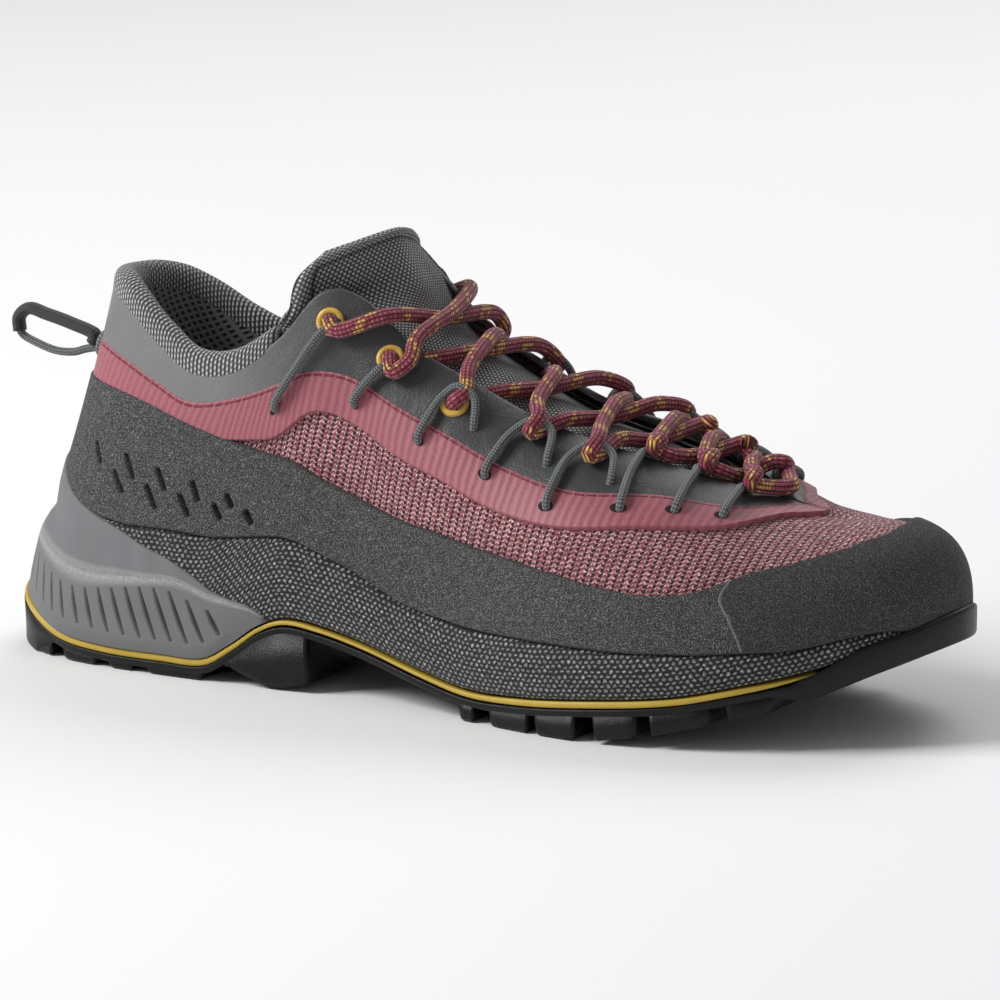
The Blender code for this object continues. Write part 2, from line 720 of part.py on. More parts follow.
def foot_point(rib, out, rise):
    g = level_share(rib, FOOT) + rise / girth_of(rib)
    return skin(leaned(rib, g), g, out)


def bed_rows(out, rise):
    """Cross rows of the dished footbed at a distance above the foot line."""

    def height(at, side):
        return at[2] - FOOTBED_DISH * (1 - side ** 2)

    return cross_rows(lambda rib: foot_point(rib, out, rise), height)


def midsole_edge(rib):
    point = skin(leaned(rib, 0), 0, KNIT_OUT)
    point[2] = max(point[2], stripe_top(point[0]) + GAP * 0.7)
    return point


new_object("midsole", *plate_from(
    bed_rows(KNIT_OUT, -EDGE_GAP),
    cross_rows(midsole_edge, lambda at, side: stripe_top(at[0]) + GAP)), FOAM)

# Insole: a removable footbed inside the upper
INSOLE_OUT = UPPER_IN - INSOLE_GAP
new_object("insole", *plate_from(
    bed_rows(INSOLE_OUT, INSOLE_THICK + GAP), bed_rows(INSOLE_OUT, GAP)), INSOLE_FABRIC)

# Upper: one knitted shell, open at the collar, the throat and underneath
upper_cells = cells_between(0, 0, FOOT, TOP)
panel("upper", upper_cells, UPPER_IN, KNIT_OUT, KNIT)

# Panels over the upper
panel("sole_wrap", cells_between(mirrored(WRAP_END), WRAP_END, 0, RAND_LOW),
      PANEL_IN, PANEL_IN + PANEL_WALL, WRAP_MESH)
panel("rand", cells_between(mirrored(TOE_SEAM), TOE_SEAM, RAND_LOW, RAND_TOP),
      PANEL_IN, PANEL_IN + PANEL_WALL, RAND_SKIN)
panel("toe_cap", cells_between(TOE_SEAM, mirrored(TOE_SEAM), RAND_LOW, RAND_TOP)
      + cells_between(WRAP_END, mirrored(WRAP_END), 0, RAND_LOW),
      PANEL_IN, PANEL_IN + PANEL_WALL, RAND_SKIN)
panel("side_band", cells_between(mirrored(BAND_FRONT), BAND_FRONT, BAND_LOW, BAND_TOP)
      + cells_between(THROAT_TIP, BAND_FRONT, BAND_TOP, TOP)
      + cells_between(mirrored(BAND_FRONT), mirrored(THROAT_TIP), BAND_TOP, TOP),
      PANEL_IN, PANEL_IN + FILM_WALL, BAND_FILM)
panel("eyestay", cells_between(mirrored(TOE_SEAM), TOE_SEAM, BAND_TOP, TOP),
      PANEL_IN, PANEL_IN + FILM_WALL, GREY_FILM)

# Heel cup: moulded foam round the heel. Columns: section, top as a share of the girth,
# thickness at the sole, on the slotted bulge, above the ledge and at the top (mm)
CUP = (
    (0.0, 0.470, 0.8, 1.4, 0.8, 0.9),
    (1.0, 0.455, 0.8, 1.6, 0.8, 0.9),
    (2.0, 0.400, 0.8, 2.0, 0.9, 0.8),
    (3.0, 0.370, 0.8, 2.3, 1.0, 0.7),
    (4.0, 0.350, 0.8, 2.0, 1.1, 0.7),
    (5.0, 0.300, 0.8, 1.8, 1.0, 0.7),
    (6.0, 0.190, 0.8, 1.5, 0.9, 0.6),
    (6.8, 0.070, 0.7, 1.0, 0.7, 0.5),
)
CUP_END = 6.8
# Share of the cup's height, and how far the thickness goes from one column to the next
CUP_PROFILE = ((0.0, 2, 0.0), (0.16, 3, 0.0), (0.46, 3, 0.0), (0.56, 4, 0.0), (0.8, 4, 0.0), (1.0, 5, 0.0))


def cup_point(rib, share, out=None):
    near = min(rib, mirrored(rib)) if rib else 0
    top = smooth(CUP, near, 1)
    if out is None:
        low = max(k for k, row in enumerate(CUP_PROFILE[:-1]) if row[0] <= share + 1e-6)
        a, b = CUP_PROFILE[low], CUP_PROFILE[low + 1]
        f = (share - a[0]) / (b[0] - a[0])
        out = CUP_IN + (smooth(CUP, near, a[1]) * (1 - f) + smooth(CUP, near, b[1]) * f) * MM
    return skin(rib, share * top, out)


def heel_cup():
    ribs = [mirrored(r) for r in reversed(SIDE_RIBS) if 0 < r <= CUP_END]
    ribs += [r for r in SIDE_RIBS if r <= CUP_END]
    shares = [row[0] for row in CUP_PROFILE]
    outer = []
    inner = []
    for rib in ribs:
        for share in shares:
            outer.append(cup_point(rib, share))
            inner.append(cup_point(rib, share, CUP_IN))
    width = len(shares)
    faces = []
    for i in range(len(ribs) - 1):
        for k in range(width - 1):
            a = i * width + k
            faces.append([a, a + width, a + width + 1, a + 1])
    verts, solid = thick_sheet(outer, inner, faces, 0.0)
    return new_object("heel_cup", verts, solid, CUP_FOAM)


def add_box(work, middle, axes, sizes):
    corners = []
    for a in (-0.5, 0.5):
        for b in (-0.5, 0.5):
            for c in (-0.5, 0.5):
                corners.append(work.verts.new(middle + axes[0] * a * sizes[0]
                                              + axes[1] * b * sizes[1] + axes[2] * c * sizes[2]))
    for face in ((0, 1, 3, 2), (4, 6, 7, 5), (0, 4, 5, 1), (2, 3, 7, 6), (0, 2, 6, 4), (1, 5, 7, 3)):
        work.faces.new([corners[k] for k in face])


CUP_SLOTS = (1.2, 1.7, 2.2, 2.65, 3.1, 3.5, 3.9, 4.3, 4.75, 5.2)
SLOT_LEVEL = 0.31             # middle of the slots, as a share of the cup's height
SLOT_LEAN = 0.32              # how far a slot leans forwards as it goes down


def slot_block():
    work = bmesh.new()
    for section_number in CUP_SLOTS:
        for ring in (section_number, mirrored(section_number)):
            middle = cup_point(ring, SLOT_LEVEL)
            normal = outward(ring, SLOT_LEVEL * smooth(CUP, min(ring, mirrored(ring)), 1))
            along = cup_point(ring + 0.2, SLOT_LEVEL) - cup_point(ring - 0.2, SLOT_LEVEL)
            along /= np.linalg.norm(along)
            forward = along if ring < TOE else -along
            up = np.array([0.0, 0.0, 1.0]) - forward * SLOT_LEAN
            up -= normal * up.dot(normal)
            up /= np.linalg.norm(up)
            across = np.cross(normal, up)
            add_box(work, middle, (across, up, normal),
                    (CUP_SLOT_WIDTH, CUP_SLOT_LENGTH, 2 * CUP_SLOT_DEPTH))
    bmesh.ops.recalc_face_normals(work, faces=work.faces)
    mesh = bpy.data.meshes.new("slots")
    work.to_mesh(mesh)
    work.free()
    obj = bpy.data.objects.new("slots", mesh)
    obj.location = (-HEEL_SEAT, 0, 0)
    bpy.context.scene.collection.objects.link(obj)
    return obj


boolean(heel_cup(), slot_block(), "DIFFERENCE")

# Collar pad: foam lining that lies inside the upper and rolls over its top edge.
# The roll's outline beside the top of the last: out from the last, up along it (mm)
COLLAR_ROLL = ((-3.1, 0.5), (-0.6, 0.6), (0.3, 2.0), (-0.4, 4.0), (-2.6, 5.0), (-5.0, 4.2), (-6.3, 1.6))
PAD_LEVELS = (0.50, 0.64, 0.78, 0.90, 0.97)


def pad_section(rib):
    points = [skin(rib, g, PAD_OUT) for g in PAD_LEVELS]
    top = on_last(rib, 1.0)
    normal = outward(rib, 1.0)
    up = top - on_last(rib, 0.95)
    up /= np.linalg.norm(up)
    points += [top + normal * a * MM + up * b * MM for a, b in COLLAR_ROLL]
    points += [skin(rib, g, PAD_OUT - PAD_WALL) for g in reversed(PAD_LEVELS)]
    return points


def loft(sections):
    verts = [p for row in sections for p in row]
    width = len(sections[0])
    faces = []
    for i in range(len(sections) - 1):
        for k in range(width):
            j = (k + 1) % width
            a = i * width
            faces.append((a + k, a + width + k, a + width + j, a + j))
    faces.append(tuple(range(width)))
    last = (len(sections) - 1) * width
    faces.append(tuple(last + k for k in reversed(range(width))))
    return verts, faces


pad_ribs = [mirrored(r) for r in reversed(SIDE_RIBS) if 0 < r <= COLLAR_CORNER]
pad_ribs += [r for r in SIDE_RIBS if r <= COLLAR_CORNER]
new_object("collar_lining", *loft([pad_section(r) for r in pad_ribs]), LINING)

# Tongue: under the eyestay it follows the last; above it stands free.
# Free rows: middle along, middle height, then along, half width and height of the
# lateral edge and of the medial edge. Along are shares of LENGTH, heights of
# COLLAR_HEIGHT, widths of HALF_BALL.
TONGUE_RIBS = (15.2, 14.4, 13.6, 12.8, 12, 11.2, 10.5, 9.9)
TONGUE_BULGE = 0.075          # rise of the middle between the two eyestay edges
TONGUE_TOP = (
    (0.427, 1.055, 0.368, 0.440, 0.925, 0.385, 0.440, 0.925),
    (0.413, 1.120, 0.350, 0.460, 1.010, 0.375, 0.430, 0.985),
    (0.404, 1.178, 0.342, 0.485, 1.095, 0.380, 0.405, 1.050),
    (0.401, 1.205, 0.350, 0.460, 1.165, 0.385, 0.365, 1.110),
)
TONGUE_REACH = 0.86           # girth share that the hidden edges reach down to


def tongue_rows():
    rows = []
    for rib in TONGUE_RIBS:
        depth = -TONGUE_DEPTH
        left = [skin(rib, g, depth) for g in (TONGUE_REACH, 0.93, 0.99)]
        right = [skin(mirrored(rib), g, depth) for g in (0.99, 0.93, TONGUE_REACH)]
        middle = (left[2] + right[0]) / 2
        spread = np.linalg.norm(left[2] - right[0])
        middle[2] += TONGUE_BULGE * HALF_BALL * min(1.0, spread / (0.6 * HALF_BALL))
        rows.append(left + [middle] + right)
    for along, height, *edges in TONGUE_TOP:
        row = []
        for w in (-1.0, -0.8, -0.5, 0.0, 0.5, 0.8, 1.0):
            edge_along, half, edge_height = edges[:3] if w < 0 else edges[3:]
            bend = abs(w) ** 1.8
            x = along + (edge_along - along) * bend
            z = height + (edge_height - height) * bend
            row.append(np.array([x * LENGTH, w * half * HALF_BALL, z * COLLAR_HEIGHT]))
        rows.append(row)
    return rows


TONGUE_ROWS = tongue_rows()


def tongue():
    rows = TONGUE_ROWS
    height = len(rows)
    width = len(rows[0])
    net = np.array(rows)
    outer = []
    inner = []
    for i in range(height):
        for k in range(width):
            along = net[min(i + 1, height - 1), k] - net[max(i - 1, 0), k]
            across = net[i, min(k + 1, width - 1)] - net[i, max(k - 1, 0)]
            normal = np.cross(across, along)
            normal /= np.linalg.norm(normal)
            thin = 0.55 if k in (0, width - 1) or i in (0, height - 1) else 1.0
            outer.append(net[i, k])
            inner.append(net[i, k] - normal * TONGUE_THICK * thin)
    faces = []
    for i in range(height - 1):
        for k in range(width - 1):
            a = i * width + k
            faces.append([a, a + 1, a + width + 1, a + width])
    verts, solid = thick_sheet(outer, inner, faces, 0.0)
    return new_object("tongue", verts, solid, TONGUE_MESH)


tongue()

# Lacing: eight places on each side. Columns: section, share of the girth
LACE_PLACES = ((8.35, 0.90), (9.70, 0.90), (10.92, 0.89), (11.95, 0.92), (12.85, 0.92),
               (13.70, 0.93), (14.40, 0.93), (15.15, 0.93))
EYELETS = 3


def frame_along(points):
    """Directions along a path of points, and two square to each, without twist."""
    points = np.array(points)
    tangents = np.gradient(points, axis=0)
    tangents /= np.linalg.norm(tangents, axis=1)[:, None]
    side = np.cross(tangents[0], (0.0, 0.0, 1.0))
    if np.linalg.norm(side) < 0.1:
        side = np.cross(tangents[0], (0.0, 1.0, 0.0))
    sides = []
    for tangent in tangents:
        side = side - tangent * side.dot(tangent)
        side /= np.linalg.norm(side)
        sides.append(side)
    return points, tangents, np.array(sides)


def tube(points, radii, corners):
    points, tangents, sides = frame_along(points)
    rings = []
    for k, point in enumerate(points):
        other = np.cross(tangents[k], sides[k])
        radius = radii[k] if hasattr(radii, "__len__") else radii
        rings.append([point + (sides[k] * math.cos(a) + other * math.sin(a)) * radius
                      for a in np.linspace(0, 2 * math.pi, corners, endpoint=False)])
    return loft(rings)


def curved(points, steps):
    """A smooth path through the points."""
    points = [np.array(p, float) for p in points]
    rows = [points[0] * 2 - points[1]] + points + [points[-1] * 2 - points[-2]]
    path = []
    for k in range(1, len(rows) - 2):
        for s in range(steps):
            f = s / steps
            a, b, c, d = rows[k - 1:k + 3]
            path.append(0.5 * (2 * b + (c - a) * f + (2 * a - 5 * b + 4 * c - d) * f * f
                               + (3 * b - a - 3 * c + d) * f ** 3))
    path.append(points[-1])
    return path


def lace_place(k, side, out):
    number, g = LACE_PLACES[k]
    return skin(number if side < 0 else mirrored(number), g, out)


LACE_CLEAR = 1.8 * MM
EDGE_RISE = 3.7 * MM          # middle of the lace above the edge of the eyestay
EDGE_SHARE = 0.4              # how far towards the crossing a lace passes that edge
EDGE_SECTIONS = np.linspace(7.6, 15.6, 161)
TONGUE_MIDDLE = [row[len(row) // 2] for row in TONGUE_ROWS]


def over_tongue(point, distance):
    """Point at a distance above the middle of the tongue, nearest to a given point."""
    best = None
    for a, b in zip(TONGUE_MIDDLE, TONGUE_MIDDLE[1:]):
        run = (b - a)[[0, 2]]
        share = np.clip((point - a)[[0, 2]].dot(run) / run.dot(run), 0, 1)
        near = a + (b - a) * share
        apart = np.linalg.norm((point - near)[[0, 2]])
        if best is None or apart < best[0]:
            up = np.array([run[1], 0.0, -run[0]]) / np.linalg.norm(run)
            best = (apart, near, up if up[2] > 0 else -up)
    _, near, up = best
    return near + up * distance


def over_edge(point, side):
    """Point above the eyestay's edge, nearest to a given point."""

    def edge(number):
        return on_last(number if side < 0 else mirrored(number), 1.0)

    number = min(EDGE_SECTIONS, key=lambda n: np.linalg.norm(edge(n) - point))
    return skin(number if side < 0 else mirrored(number), 1.0, EDGE_RISE)


def lace_points():
    """One lace: from a top eyelet down in a zigzag, across the front, and back up."""
    count = len(LACE_PLACES)
    down = [(k, -1 if k % 2 == 0 else 1) for k in range(count)]
    up = [(k, 1 if k % 2 == 0 else -1) for k in reversed(range(count))]
    stops = down + up
    points = []
    for n, (k, side) in enumerate(stops[:-1]):
        start = lace_place(k, side, LACE_RISE)
        end = lace_place(*stops[n + 1], LACE_RISE)
        crossing_low = n % 2 == (0 if n < count else 1) or n == count - 1
        rise = LACE_DIAMETER / 2 + LACE_CLEAR
        rise += 0 if crossing_low else LACE_DIAMETER + LACE_CLEAR
        middle = over_tongue((start + end) / 2, rise)
        middle[1] = (start[1] + end[1]) / 2
        points += [start, over_edge(start + (middle - start) * EDGE_SHARE, side), middle,
                   over_edge(end + (middle - end) * EDGE_SHARE, stops[n + 1][1])]
    points.append(lace_place(*stops[-1], LACE_RISE))
    return points


LACE_STEPS = 2
new_object("lace", *tube(curved(lace_points(), LACE_STEPS), LACE_DIAMETER / 2, 6), LACE_BRAID)


# Eyelets: enamelled rings pressed on the eyestay
def washer(name, middle, normal, outer, inner, thick, corners, look):
    side = np.cross(normal, (0.0, 0.0, 1.0))
    side /= np.linalg.norm(side)
    other = np.cross(normal, side)
    angles = np.linspace(0, 2 * math.pi, corners, endpoint=False)
    profile = ((outer / 2, 0), (outer / 2, thick * 0.5), (outer / 2 * 0.85, thick),
               (inner / 2, thick), (inner / 2, 0))
    verts = []
    for a in angles:
        way = side * math.cos(a) + other * math.sin(a)
        verts += [middle + way * radius + normal * height for radius, height in profile]
    width = len(profile)
    faces = []
    for i in range(corners):
        for k in range(width):
            a = i * width
            b = (i + 1) % corners * width
            j = (k + 1) % width
            faces.append((a + k, b + k, b + j, a + j))
    return new_object(name, verts, faces, look)


FILM_OUT = PANEL_IN + FILM_WALL
for side, label in ((-1, "lateral"), (1, "medial")):
    for k in range(EYELETS):
        number, g = LACE_PLACES[k]
        ring = number if side < 0 else mirrored(number)
        normal = outward(ring, g)
        washer(f"eyelet_{label}_{k + 1}", skin(ring, g, FILM_OUT + GAP * 1.5), normal,
               EYELET_DIAMETER, EYELET_HOLE, EYELET_THICK, 12, EYELET_METAL)

# Lace cords: thin grey cords from the side band up over the lace at each turn.
# Columns: section and girth share of the lower end, section and share of the upper end
CORD_ENDS = (
    (7.05, 0.745, 8.10, 0.845),
    (9.06, 0.700, 9.40, 0.835),
    (10.42, 0.720, 10.70, 0.840),
    (11.66, 0.705, 11.80, 0.860),
    (12.69, 0.655, 12.75, 0.850),
    (13.85, 0.700, 13.90, 0.860),
    (14.26, 0.712, 14.35, 0.860),
    (14.90, 0.735, 15.05, 0.860),
)


def cord(name, side, row):
    low_section, low_share, high_section, high_share = row
    radius = CORD_DIAMETER / 2
    rest = FILM_OUT + EDGE_GAP + radius

    def place(share):
        number = low_section + (high_section - low_section) * share
        g = low_share + (high_share - low_share) * share
        ring = number if side < 0 else mirrored(number)
        lift = 1.6 * MM * math.sin(math.pi * min(share, 1.0))
        return skin(ring, g, rest + lift)

    path = [place(share) for share in (0.0, 0.25, 0.5, 0.75, 1.0)]
    return new_object(name, *tube(curved(path, 2), radius, 6), CORD_BRAID)


for side, label in ((-1, "lateral"), (1, "medial")):
    for k, row in enumerate(CORD_ENDS):
        cord(f"cord_{label}_{k + 1}", side, row)

# Heel pull loop: a cord with a sleeve on its upper run, sewn to the heel seam.
# Columns: along (share of LENGTH), height (share of COLLAR_HEIGHT), sleeve (1) or cord (0)
PULL_PATH = (
    (0.026, 0.862, 1), (-0.002, 0.880, 1), (-0.023, 0.889, 1),
    (-0.035, 0.866, 1), (-0.034, 0.824, 0), (-0.028, 0.806, 0), (-0.013, 0.794, 0),
    (0.008, 0.782, 0), (0.030, 0.786, 0),
)
PULL_STEPS = 2
PULL_REST = 0.7 * MM           # from the heel film to the middle of the loop's ends
PULL_HIGH = 0.845             # girth share where its upper end meets the heel
PULL_LOW = 0.785


def pull_loop():
    free = [(x * LENGTH, 0.0, z * COLLAR_HEIGHT) for x, z, _ in PULL_PATH]
    start = skin(0, PULL_HIGH, FILM_OUT + PULL_REST)
    end = skin(0, PULL_LOW, FILM_OUT + PULL_REST)
    path = curved([start] + free + [end], PULL_STEPS)
    kinds = [(0, PULL_PATH[0][2])] + [(n + 1, row[2]) for n, row in enumerate(PULL_PATH)]
    kinds.append((len(kinds), 0))
    radii = []
    for k in range(len(path)):
        kind = float(np.clip(smooth(kinds, k / PULL_STEPS), 0, 1))
        radii.append((PULL_DIAMETER * (1 - kind) + SLEEVE_DIAMETER * kind) / 2)
    new_object("heel_pull_loop", *tube(path, radii, 6), CORD_BRAID)


pull_loop()
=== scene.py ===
"""A right approach shoe, standing empty on its sole: its looks, over the CAD frame.

Every soft piece lies on one last. A place on it is (r, g): r counts sections from the
back of the heel along the lateral side to the toe (20) and back along the medial side
(40); g is the share of that section's girth from the sole edge up to the collar, the
throat or the crown of the vamp. Sizes are in millimetres until a mesh is made.
"""

import math

import bmesh
import bpy
import numpy as np
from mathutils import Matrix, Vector


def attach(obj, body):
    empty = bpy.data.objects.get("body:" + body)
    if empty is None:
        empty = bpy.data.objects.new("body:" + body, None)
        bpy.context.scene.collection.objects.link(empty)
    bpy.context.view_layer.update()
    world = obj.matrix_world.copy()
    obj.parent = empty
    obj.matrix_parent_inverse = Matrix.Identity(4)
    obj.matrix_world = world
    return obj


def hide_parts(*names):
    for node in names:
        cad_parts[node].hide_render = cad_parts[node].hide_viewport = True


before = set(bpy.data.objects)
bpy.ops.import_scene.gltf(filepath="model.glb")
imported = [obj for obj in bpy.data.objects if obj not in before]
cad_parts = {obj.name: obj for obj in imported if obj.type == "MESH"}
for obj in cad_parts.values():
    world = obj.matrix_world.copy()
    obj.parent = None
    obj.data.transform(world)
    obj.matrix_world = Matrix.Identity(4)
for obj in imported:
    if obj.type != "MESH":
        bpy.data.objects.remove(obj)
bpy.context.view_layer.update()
scene = bpy.context.scene
MM = 0.001

# Camera: a long lens 29 degrees round from the lateral side and 11.5 above the floor,
# as the photo was taken; the shift puts the shoe where the photo has it.
turn, rise = math.radians(29.0), math.radians(11.5)
back = Vector((math.sin(turn) * math.cos(rise), -math.cos(turn) * math.cos(rise), math.sin(rise)))
camera = bpy.data.objects.new("camera", bpy.data.cameras.new("camera"))
AIM, DISTANCE = Vector((0.0981, 0.0, 0.050)), 1.8
camera.location = AIM + back * DISTANCE
camera.rotation_euler = (-back).to_track_quat("-Z", "Y").to_euler()
camera.data.lens = 247.86
camera.data.shift_x = 0.0168
camera.data.shift_y = -0.0071
scene.collection.objects.link(camera)
scene.camera = camera
scene.view_settings.view_transform = "Standard"


# Studio: a pale floor that runs out of view, a big soft light over the lateral side, a
# weaker one in front of the toe and a long one behind for the edges.
def tone(code):
    """Linear colour of an sRGB hex code."""
    parts = [int(code[k:k + 2], 16) / 255 for k in (1, 3, 5)]
    return tuple(p / 12.92 if p <= 0.04045 else ((p + 0.055)
                                                 / 1.055) ** 2.4 for p in parts) + (1.0,)


def look(name, **sockets):
    """A material with these inputs on its Principled shader, and its node tree."""
    made = bpy.data.materials.new(name)
    made.use_nodes = True
    shader = made.node_tree.nodes["Principled BSDF"]
    inputs = {socket.name.lower().replace(" ", "_"): socket for socket in shader.inputs}
    for key, value in sockets.items():
        inputs[key].default_value = value
    return made, made.node_tree


def add(tree, kind, *values, **settings):
    """Adds a node. Values go to its inputs in order, settings to inputs or properties by
    name; a node or a socket is linked, and None leaves an input as it is."""
    made = tree.nodes.new("ShaderNode" + kind)
    pairs = list(zip(made.inputs, values))
    for key, value in settings.items():
        if key in made.inputs:
            pairs.append((made.inputs[key], value))
        else:
            setattr(made, key, value)
    for socket, value in pairs:
        if isinstance(value, bpy.types.Node):
            value = value.outputs[0]
        if isinstance(value, bpy.types.NodeSocket):
            tree.links.new(value, socket)
        elif value is not None:
            socket.default_value = value
    return made


def noise(tree, place, scale, detail, *roughness):
    return add(tree, "TexNoise", place, None, scale, detail, *roughness)


def mix(tree, share, first, second):
    """Mixes two colours by share; each is a hex code or a node."""
    pair = [tone(colour) if isinstance(colour, str) else colour for colour in (first, second)]
    return add(tree, "MixRGB", share, *pair)


def finish_look(tree, colour=None, height=None, depth=0.2, roughness=None):
    """Links colour, relief (depth in mm) and roughness to the shader."""
    shader = tree.nodes["Principled BSDF"]
    if colour is not None:
        tree.links.new(colour.outputs[0], shader.inputs["Base Color"])
    if roughness is not None:
        tree.links.new(roughness.outputs[0], shader.inputs["Roughness"])
    if height is not None:
        bump = add(tree, "Bump", Strength=1.0, Distance=depth * MM, Height=height)
        tree.links.new(bump.outputs[0], shader.inputs["Normal"])


floor_look, floor_tree = look("studio_paper", roughness=0.9)
grain = noise(floor_tree, None, 40.0, 2.0)
finish_look(floor_tree, mix(floor_tree, grain, "#fbfbfb", "#fefefe"))
bpy.ops.mesh.primitive_plane_add(size=12.0, location=(0.1, 0.0, -0.0003))
floor = bpy.context.object
floor.name = "floor"
floor.data.materials.append(floor_look)

world = bpy.data.worlds.new("studio")
world.use_nodes = True
world.node_tree.nodes["Background"].inputs["Color"].default_value = (1.0, 1.0, 1.0, 1.0)
world.node_tree.nodes["Background"].inputs["Strength"].default_value = 0.26
scene.world = world
for name, place, size, power in (("key", (-1.25, -1.05, 1.35), 0.9, 40.0),
                                 ("front", (1.6, -1.2, 0.9), 0.8, 0.8),
                                 ("behind", (0.1, 1.5, 1.5), 1.4, 16.0)):
    lamp = bpy.data.objects.new(name, bpy.data.lights.new(name, "AREA"))
    lamp.data.size = size
    lamp.data.energy = power
    lamp.location = place
    lamp.rotation_euler = (Vector((0.1, 0.0, 0.05)) - Vector(place)).to_track_quat("-Z",
                                                                                   "Y").to_euler()
    scene.collection.objects.link(lamp)

# The last: a right foot's form from 21 sections a side. Each section is one curve from
# the sole edge up; the whole is measured once as a fine net, which all pieces read.
LENGTH, HALF_BALL, COLLAR_HEIGHT, ARCH_HEIGHT, TOE_SPRING = 268.0, 48.5, 98.0, 18.0, 25.5
HEEL_SEAT = 0.134 * LENGTH
TOE, RING = 20, 40
# Columns: edge_along, lateral, medial, top_along, top_gap, top_height, lean, rise, over,
# drop, medial_lift (shares of the length, the half ball width and the collar height)
LAST = np.array((
    (0.003, 0.000, 0.000, 0.093, 0.000, 1.000, -0.227, 0.265, 0.124, 0.286, 0.000),
    (0.015, 0.340, 0.340, 0.104, 0.206, 1.005, -0.206, 0.265, 0.124, 0.286, -0.010),
    (0.041, 0.526, 0.526, 0.127, 0.351, 0.995, -0.144, 0.265, 0.124, 0.286, -0.020),
    (0.086, 0.649, 0.639, 0.157, 0.454, 0.954, -0.062, 0.265, 0.103, 0.265, -0.026),
    (0.142, 0.711, 0.701, 0.194, 0.526, 0.888, -0.010, 0.265, 0.082, 0.235, -0.026),
    (0.205, 0.732, 0.711, 0.235, 0.588, 0.832, 0.000, 0.265, 0.062, 0.214, -0.015),
    (0.269, 0.742, 0.691, 0.284, 0.608, 0.847, 0.000, 0.265, 0.062, 0.224, 0.000),
    (0.332, 0.742, 0.670, 0.332, 0.567, 0.939, 0.000, 0.265, 0.082, 0.245, 0.010),
    (0.388, 0.742, 0.660, 0.369, 0.485, 1.061, 0.000, 0.286, 0.124, 0.245, 0.015),
    (0.440, 0.763, 0.660, 0.407, 0.412, 1.051, 0.000, 0.306, 0.165, 0.184, 0.015),
    (0.493, 0.804, 0.680, 0.463, 0.392, 0.929, 0.010, 0.327, 0.247, 0.102, 0.005),
    (0.549, 0.856, 0.722, 0.526, 0.361, 0.842, 0.031, 0.327, 0.330, 0.051, 0.000),
    (0.608, 0.928, 0.794, 0.597, 0.340, 0.755, 0.062, 0.327, 0.392, 0.031, 0.000),
    (0.672, 0.990, 0.876, 0.672, 0.320, 0.699, 0.082, 0.327, 0.454, 0.010, 0.000),
    (0.735, 1.000, 0.948, 0.743, 0.247, 0.648, 0.082, 0.306, 0.495, 0.000, 0.000),
    (0.795, 0.948, 0.979, 0.795, 0.113, 0.600, 0.072, 0.286, 0.536, 0.000, 0.000),
    (0.851, 0.835, 0.948, 0.828, 0.000, 0.567, 0.062, 0.265, 0.536, 0.000, 0.000),
    (0.899, 0.660, 0.856, 0.851, 0.000, 0.553, 0.052, 0.255, 0.495, -0.005, 0.000),
    (0.940, 0.464, 0.732, 0.866, 0.000, 0.545, 0.041, 0.245, 0.454, -0.010, 0.000),
    (0.974, 0.227, 0.546, 0.877, 0.000, 0.540, 0.041, 0.245, 0.412, -0.024, 0.000),
    (0.996, -0.186, 0.186, 0.881, 0.000, 0.539, 0.041, 0.245, 0.412, -0.031, 0.000),
))
# Height of the sole edge along the shoe, and of the worn tread (shares of the arch
# height and of the toe spring)
SOLE_LINE = (
    (-0.030, 1.111), (0.000, 0.917), (0.037, 0.639), (0.084, 0.356), (0.142, 0.267),
    (0.215, 0.256), (0.263, 0.278), (0.295, 0.544), (0.325, 0.856), (0.353, 1.006),
    (0.388, 0.967), (0.446, 0.800), (0.521, 0.522), (0.571, 0.394), (0.631, 0.417),
    (0.720, 0.550), (0.800, 0.689), (0.853, 0.861), (0.901, 1.028), (0.955, 1.278),
    (1.000, 1.500),
)
GROUND = (
    (-0.010, 0.275), (0.010, 0.118), (0.030, 0.024), (0.055, 0.000), (0.300, 0.000),
    (0.690, 0.000), (0.728, 0.039), (0.765, 0.102), (0.802, 0.188), (0.854, 0.322),
    (0.896, 0.440), (0.933, 0.627), (0.978, 0.843), (1.015, 1.000),
)
# Edges of the panels, one row a section: foot, rand_low, rand_top, band_low, band_top
LINES = np.array((
    (0.16, 0.380, 0.710, 0.725, 0.820),
    (0.16, 0.380, 0.715, 0.730, 0.825),
    (0.16, 0.382, 0.730, 0.745, 0.838),
    (0.17, 0.384, 0.765, 0.780, 0.857),
    (0.18, 0.397, 0.800, 0.815, 0.876),
    (0.18, 0.430, 0.815, 0.830, 0.887),
    (0.17, 0.410, 0.755, 0.770, 0.895),
    (0.13, 0.300, 0.590, 0.643, 0.835),
    (0.10, 0.222, 0.455, 0.638, 0.765),
    (0.09, 0.192, 0.418, 0.626, 0.762),
    (0.09, 0.181, 0.441, 0.630, 0.790),
    (0.09, 0.194, 0.462, 0.623, 0.780),
    (0.09, 0.199, 0.459, 0.594, 0.752),
    (0.09, 0.186, 0.420, 0.576, 0.720),
    (0.08, 0.165, 0.372, 0.618, 0.775),
    (0.08, 0.150, 0.373, 0.673, 0.808),
    (0.07, 0.125, 0.462, 0.840, 0.925),
    (0.06, 0.104, 0.523, 0.900, 0.955),
    (0.05, 0.104, 0.567, 0.860, 0.935),
    (0.04, 0.080, 0.610, 0.860, 0.935),
    (0.04, 0.075, 0.650, 0.860, 0.935),
))


def run_along(net, axis=0):
    """Distance walked along an axis of a net of points, starting at 0."""
    walked = np.linalg.norm(np.diff(net, axis=axis), axis=-1).cumsum(axis=axis)
    return np.concatenate([np.zeros_like(walked.take([0], axis=axis)), walked], axis=axis)


